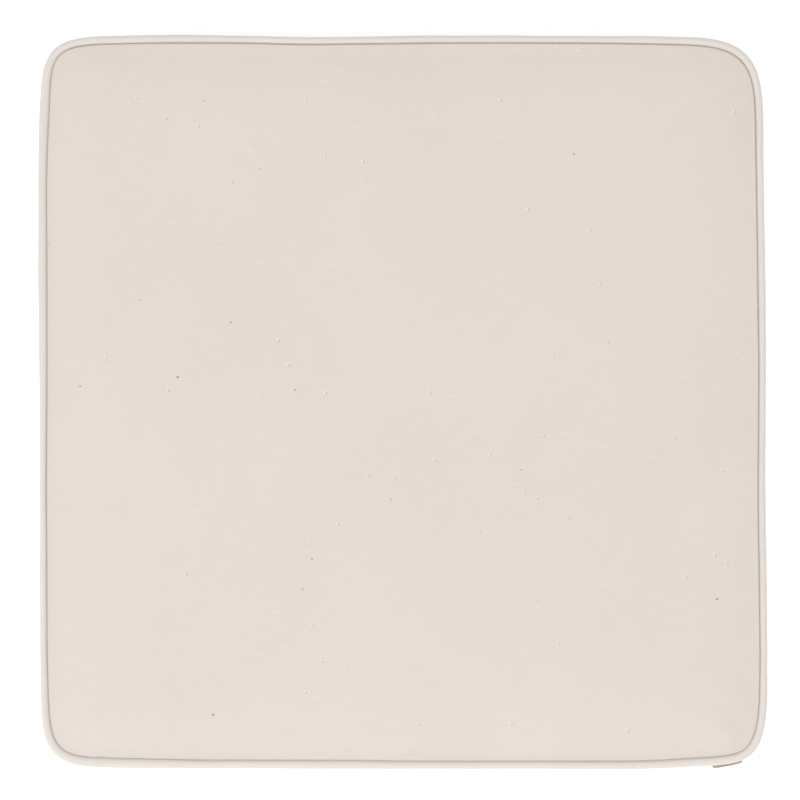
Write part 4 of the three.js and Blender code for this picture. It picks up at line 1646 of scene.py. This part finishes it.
@dataclass
class LeatherTab:
    """A strap of leather caught in the lower seam near the front right corner."""

    outline: Outline
    leather: bpy.types.Material
    seam_level: float
    roll: float
    width: float = 19 * MM
    thickness: float = 0.9 * MM
    lean: float = math.radians(7)
    aim: float = math.radians(10.5)
    shift: float = 1.5 * MM
    ride_up: float = 1.9 * MM
    middle: float = field(init=False)
    runs: tuple[float, float] = field(init=False)

    def __post_init__(self) -> None:
        """Read where the frame puts the strap, which sits a little to the left of that."""
        low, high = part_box("leather_tab")
        self.middle = float(self.outline.place_of(Side.FRONT, (low.x + high.x) / 2 - self.shift))
        middle = float(self.outline.run(np.array(self.middle)))
        self.runs = (middle - self.width / 2, middle + self.width / 2)

    def lift(self, place: np.ndarray) -> np.ndarray:
        """How far the side band's lower edge rides up over the strap."""
        run = self.outline.run(np.mod(place, 4.0))
        left, right = self.runs
        inside = smoothstep(run, left - 3 * MM, left) * (1 - smoothstep(run, right, right + 3 * MM))
        return self.ride_up * inside

    def _section(self) -> np.ndarray:
        """Bend the strap's middle line over the roll.

        Returns:
            Inset and height along it, from inside the seam to its free end.
        """
        centre = (self.roll, self.seam_level)
        over = self.roll + 0.3 * MM + self.thickness / 2
        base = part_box("leather_tab")[0].z + self.thickness / 2
        inner = [(d * MM, base) for d in (17.5, 14.5, 11.5, 9.0, 7.6)]
        climb = [(6.4 * MM, base + 0.6 * MM), (5.2 * MM, base + 1.3 * MM)]
        crest = [(x, z) for x, z in arc(centre, over, 62, 97, 5)]
        x, z = crest[-1]
        free = [(x - d * MM, z - d * MM * math.tan(self.lean)) for d in (1.3, 2.7, 4.1, 5.5, 6.7, 7.8, 8.6)]
        return np.array(inner + climb + crest + free)

    def build(self) -> Piece:
        """Cut the strap straight and bend it over the roll.

        Returns:
            The strap.
        """
        path = self._section()
        near = np.linspace(self.middle - 0.16, self.middle + 0.16, 500)
        edge = self.outline.at(near, np.zeros_like(near))
        facing = self.outline.at(near, -np.ones_like(near)) - edge
        start = self.outline.at(np.array([self.middle]), np.zeros(1))[0]
        out = np.array([math.sin(self.aim), -math.cos(self.aim)])
        k, j = np.meshgrid(np.linspace(-1, 1, 25), np.arange(len(path)), indexing="ij")
        tip = smoothstep(-path[j, 0], 2 * MM, -path[-1, 0]) * 0.8 * MM * np.abs(k) ** 7
        away = -path[j, 0] - tip
        plan = start + k[..., None] * self.width / 2 * np.array([-out[1], out[0]]) + away[..., None] * out
        gaps = plan[..., None, :] - edge
        closest = np.linalg.norm(gaps, axis=-1).argmin(-1)
        inset = -(np.take_along_axis(gaps, closest[..., None, None], 2)[..., 0, :] * facing[closest]).sum(-1)
        order = np.argsort(path[:, 0])
        z = np.interp(inset, path[order, 0], path[order, 1])
        z = z + smoothstep(-inset, 2 * MM, 8 * MM) * 0.25 * MM * np.sin(k * 2.4 + 0.6)
        bm = bmesh.new()
        add_grid(bm, raised(plan, z))
        bmesh.ops.recalc_face_normals(bm, faces=bm.faces)
        bmesh.ops.solidify(bm, geom=bm.faces, thickness=self.thickness)
        bmesh.ops.recalc_face_normals(bm, faces=bm.faces)
        rims = [e for e in bm.edges if e.is_manifold and e.calc_face_angle() > math.radians(50)]
        bmesh.ops.bevel(bm, geom=rims, offset=0.2 * MM, affect="EDGES", segments=2, profile=0.5, material=-1)
        strap = finish_mesh(bm, "leather_tab_strap")
        self._mark_edges(strap)
        dress(strap, self.leather)
        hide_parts("leather_tab")
        return strap

    def _mark_edges(self, strap: Piece) -> None:
        """Darken the cut edges."""
        bm = bmesh.new()
        bm.from_mesh(strap.data)
        bm.normal_update()
        bm.verts.ensure_lookup_table()
        flat = np.array([abs(v.normal.z) for v in bm.verts])
        bm.free()
        mark_wear(strap, 1 - smoothstep(flat, 0.55, 0.97))


# ---------------------------------------------------------------- the studio


@dataclass
class Studio:
    """A bright table, soft light and a camera straight above."""

    camera_height: float = 1.8
    focus_level: float = 45 * MM
    metres_wide: float = 491.3 * MM
    aim: tuple[float, float] = (-1.67 * MM, 1.47 * MM)
    floor_size: float = 40.0
    world: float = 0.75
    key_place: tuple[float, float, float] = (-1.5, -2.1, 2.3)
    key_power: float = 33.0
    top_place: tuple[float, float, float] = (0.1, -0.2, 2.6)
    top_power: float = 16.0
    sensor: float = 36.0

    def build(self) -> None:
        """Lay the floor, hang the lights and place the camera."""
        self._floor()
        self._light("key", self.key_place, 2.0, self.key_power)
        self._light("top", self.top_place, 2.2, self.top_power)
        sky = bpy.data.worlds.new("studio")
        sky.use_nodes = True
        sky.node_tree.nodes["Background"].inputs["Color"].default_value = (1.0, 1.0, 1.0, 1.0)
        sky.node_tree.nodes["Background"].inputs["Strength"].default_value = self.world
        bpy.context.scene.world = sky
        bpy.context.scene.view_settings.view_transform = "Standard"
        self._camera()

    def _floor(self) -> None:
        """A plain white floor just under the pad."""
        bm = bmesh.new()
        bmesh.ops.create_grid(bm, x_segments=8, y_segments=8, size=self.floor_size / 2,
                              matrix=Matrix.Translation((0, 0, -0.2 * MM)))
        floor = finish_mesh(bm, "floor")
        s = Shader("floor_white")
        place = s.add("TexCoord", output="Object")
        tone = s.mix(s.noise(place, 3.0), (0.90, 0.90, 0.90, 1.0), (0.92, 0.92, 0.92, 1.0))
        floor.data.materials.append(s.close({"Base Color": tone}, {
            "Roughness": 0.9, "Emission Color": (1.0, 1.0, 1.0, 1.0), "Emission Strength": 0.30}))

    def _light(self, name: str, place: tuple[float, float, float], size: float, power: float) -> None:
        """Hang a square soft light that looks at the pad.

        Args:
            name: The light's name.
            place: Where it hangs.
            size: Its side.
            power: Its power in watts.
        """
        lamp = bpy.data.lights.new(name, "AREA")
        lamp.size = size
        lamp.energy = power
        holder = bpy.data.objects.new(name, lamp)
        holder.location = place
        holder.rotation_euler = (-Vector(place)).to_track_quat("-Z", "Y").to_euler()
        bpy.context.scene.collection.objects.link(holder)

    def _camera(self) -> None:
        """Look straight down from above."""
        lens = bpy.data.cameras.new("camera")
        lens.sensor_width = self.sensor
        lens.lens = self.sensor * (self.camera_height - self.focus_level) / self.metres_wide
        holder = bpy.data.objects.new("camera", lens)
        holder.location = (*self.aim, self.camera_height)
        bpy.context.scene.collection.objects.link(holder)
        bpy.context.scene.camera = holder


def main() -> None:
    """Build the pad from the inside out, then the studio round it."""
    logging.basicConfig(level=logging.INFO, format="%(message)s")
    roll_low, roll_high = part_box("piping_cover_top")
    panel_low, panel_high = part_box("top_panel")
    strip_low, strip_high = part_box("boxing_strip")
    zip_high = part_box("zip_panel_upper")[1]
    cord_low, cord_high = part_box("piping_cord_bottom")
    outline = Outline(roll_high.x, roll_high.y)
    seam_inset = roll_high.x - panel_high.x
    cover = PressedCover(outline, seam_inset, panel_low.z + 0.15 * MM, panel_high.z, zip_high.x)
    canvas = Canvas("canvas_cloth").make()
    bias = Canvas("canvas_bias", (0.748, 0.698, 0.655), grain_turn=math.radians(45), flecks=0.7).make()
    cotton = Yarn("cotton_twist", (0.78, 0.72, 0.62)).make()
    thread = Yarn("sewing_thread", (0.80, 0.745, 0.67), (3000.0, 3000.0, 3000.0), relief=0.05 * MM).make()
    tape = Yarn("zip_tape_weave", (0.74, 0.67, 0.59), (2600.0, 900.0, 2600.0), relief=0.10 * MM).make()
    nylon = Yarn("zip_nylon", (0.76, 0.70, 0.61), (900.0, 900.0, 900.0), relief=0.02 * MM,
                 roughness=0.45, sheen=0.0).make()
    level = (cord_low.z + cord_high.z) / 2
    radius = (roll_high.z - roll_low.z) / 2
    tab = LeatherTab(outline, Leather().make(), level, radius)
    parts = [
        Stuffing(cover, Filling("foam_cells", (0.88, 0.84, 0.75)).make(),
                 Filling("wadding_fibre", (0.88, 0.87, 0.84), 2.2 * MM, 0.9 * MM).make()),
        Panel(cover, Facing.UP, "top_panel", canvas),
        Panel(cover, Facing.DOWN, "bottom_panel", canvas),
        Boxing(cover, canvas, strip_low.z, strip_high.z, zip_high.x, tab.lift),
        Piping(outline, panel_high.z - level, radius, "top", bias, cotton),
        Piping(outline, level, radius, "bottom", bias, cotton),
        ZipOpening(cover, canvas, thread, tape, nylon, Nickel().make()),
        tab,
    ]
    for part in parts:
        made = part.build()
        for piece in made if isinstance(made, list) else [made]:
            log.info("%s: %d faces", piece.name, len(piece.data.polygons))
    Studio().build()


if __name__ == "__main__":
    main()
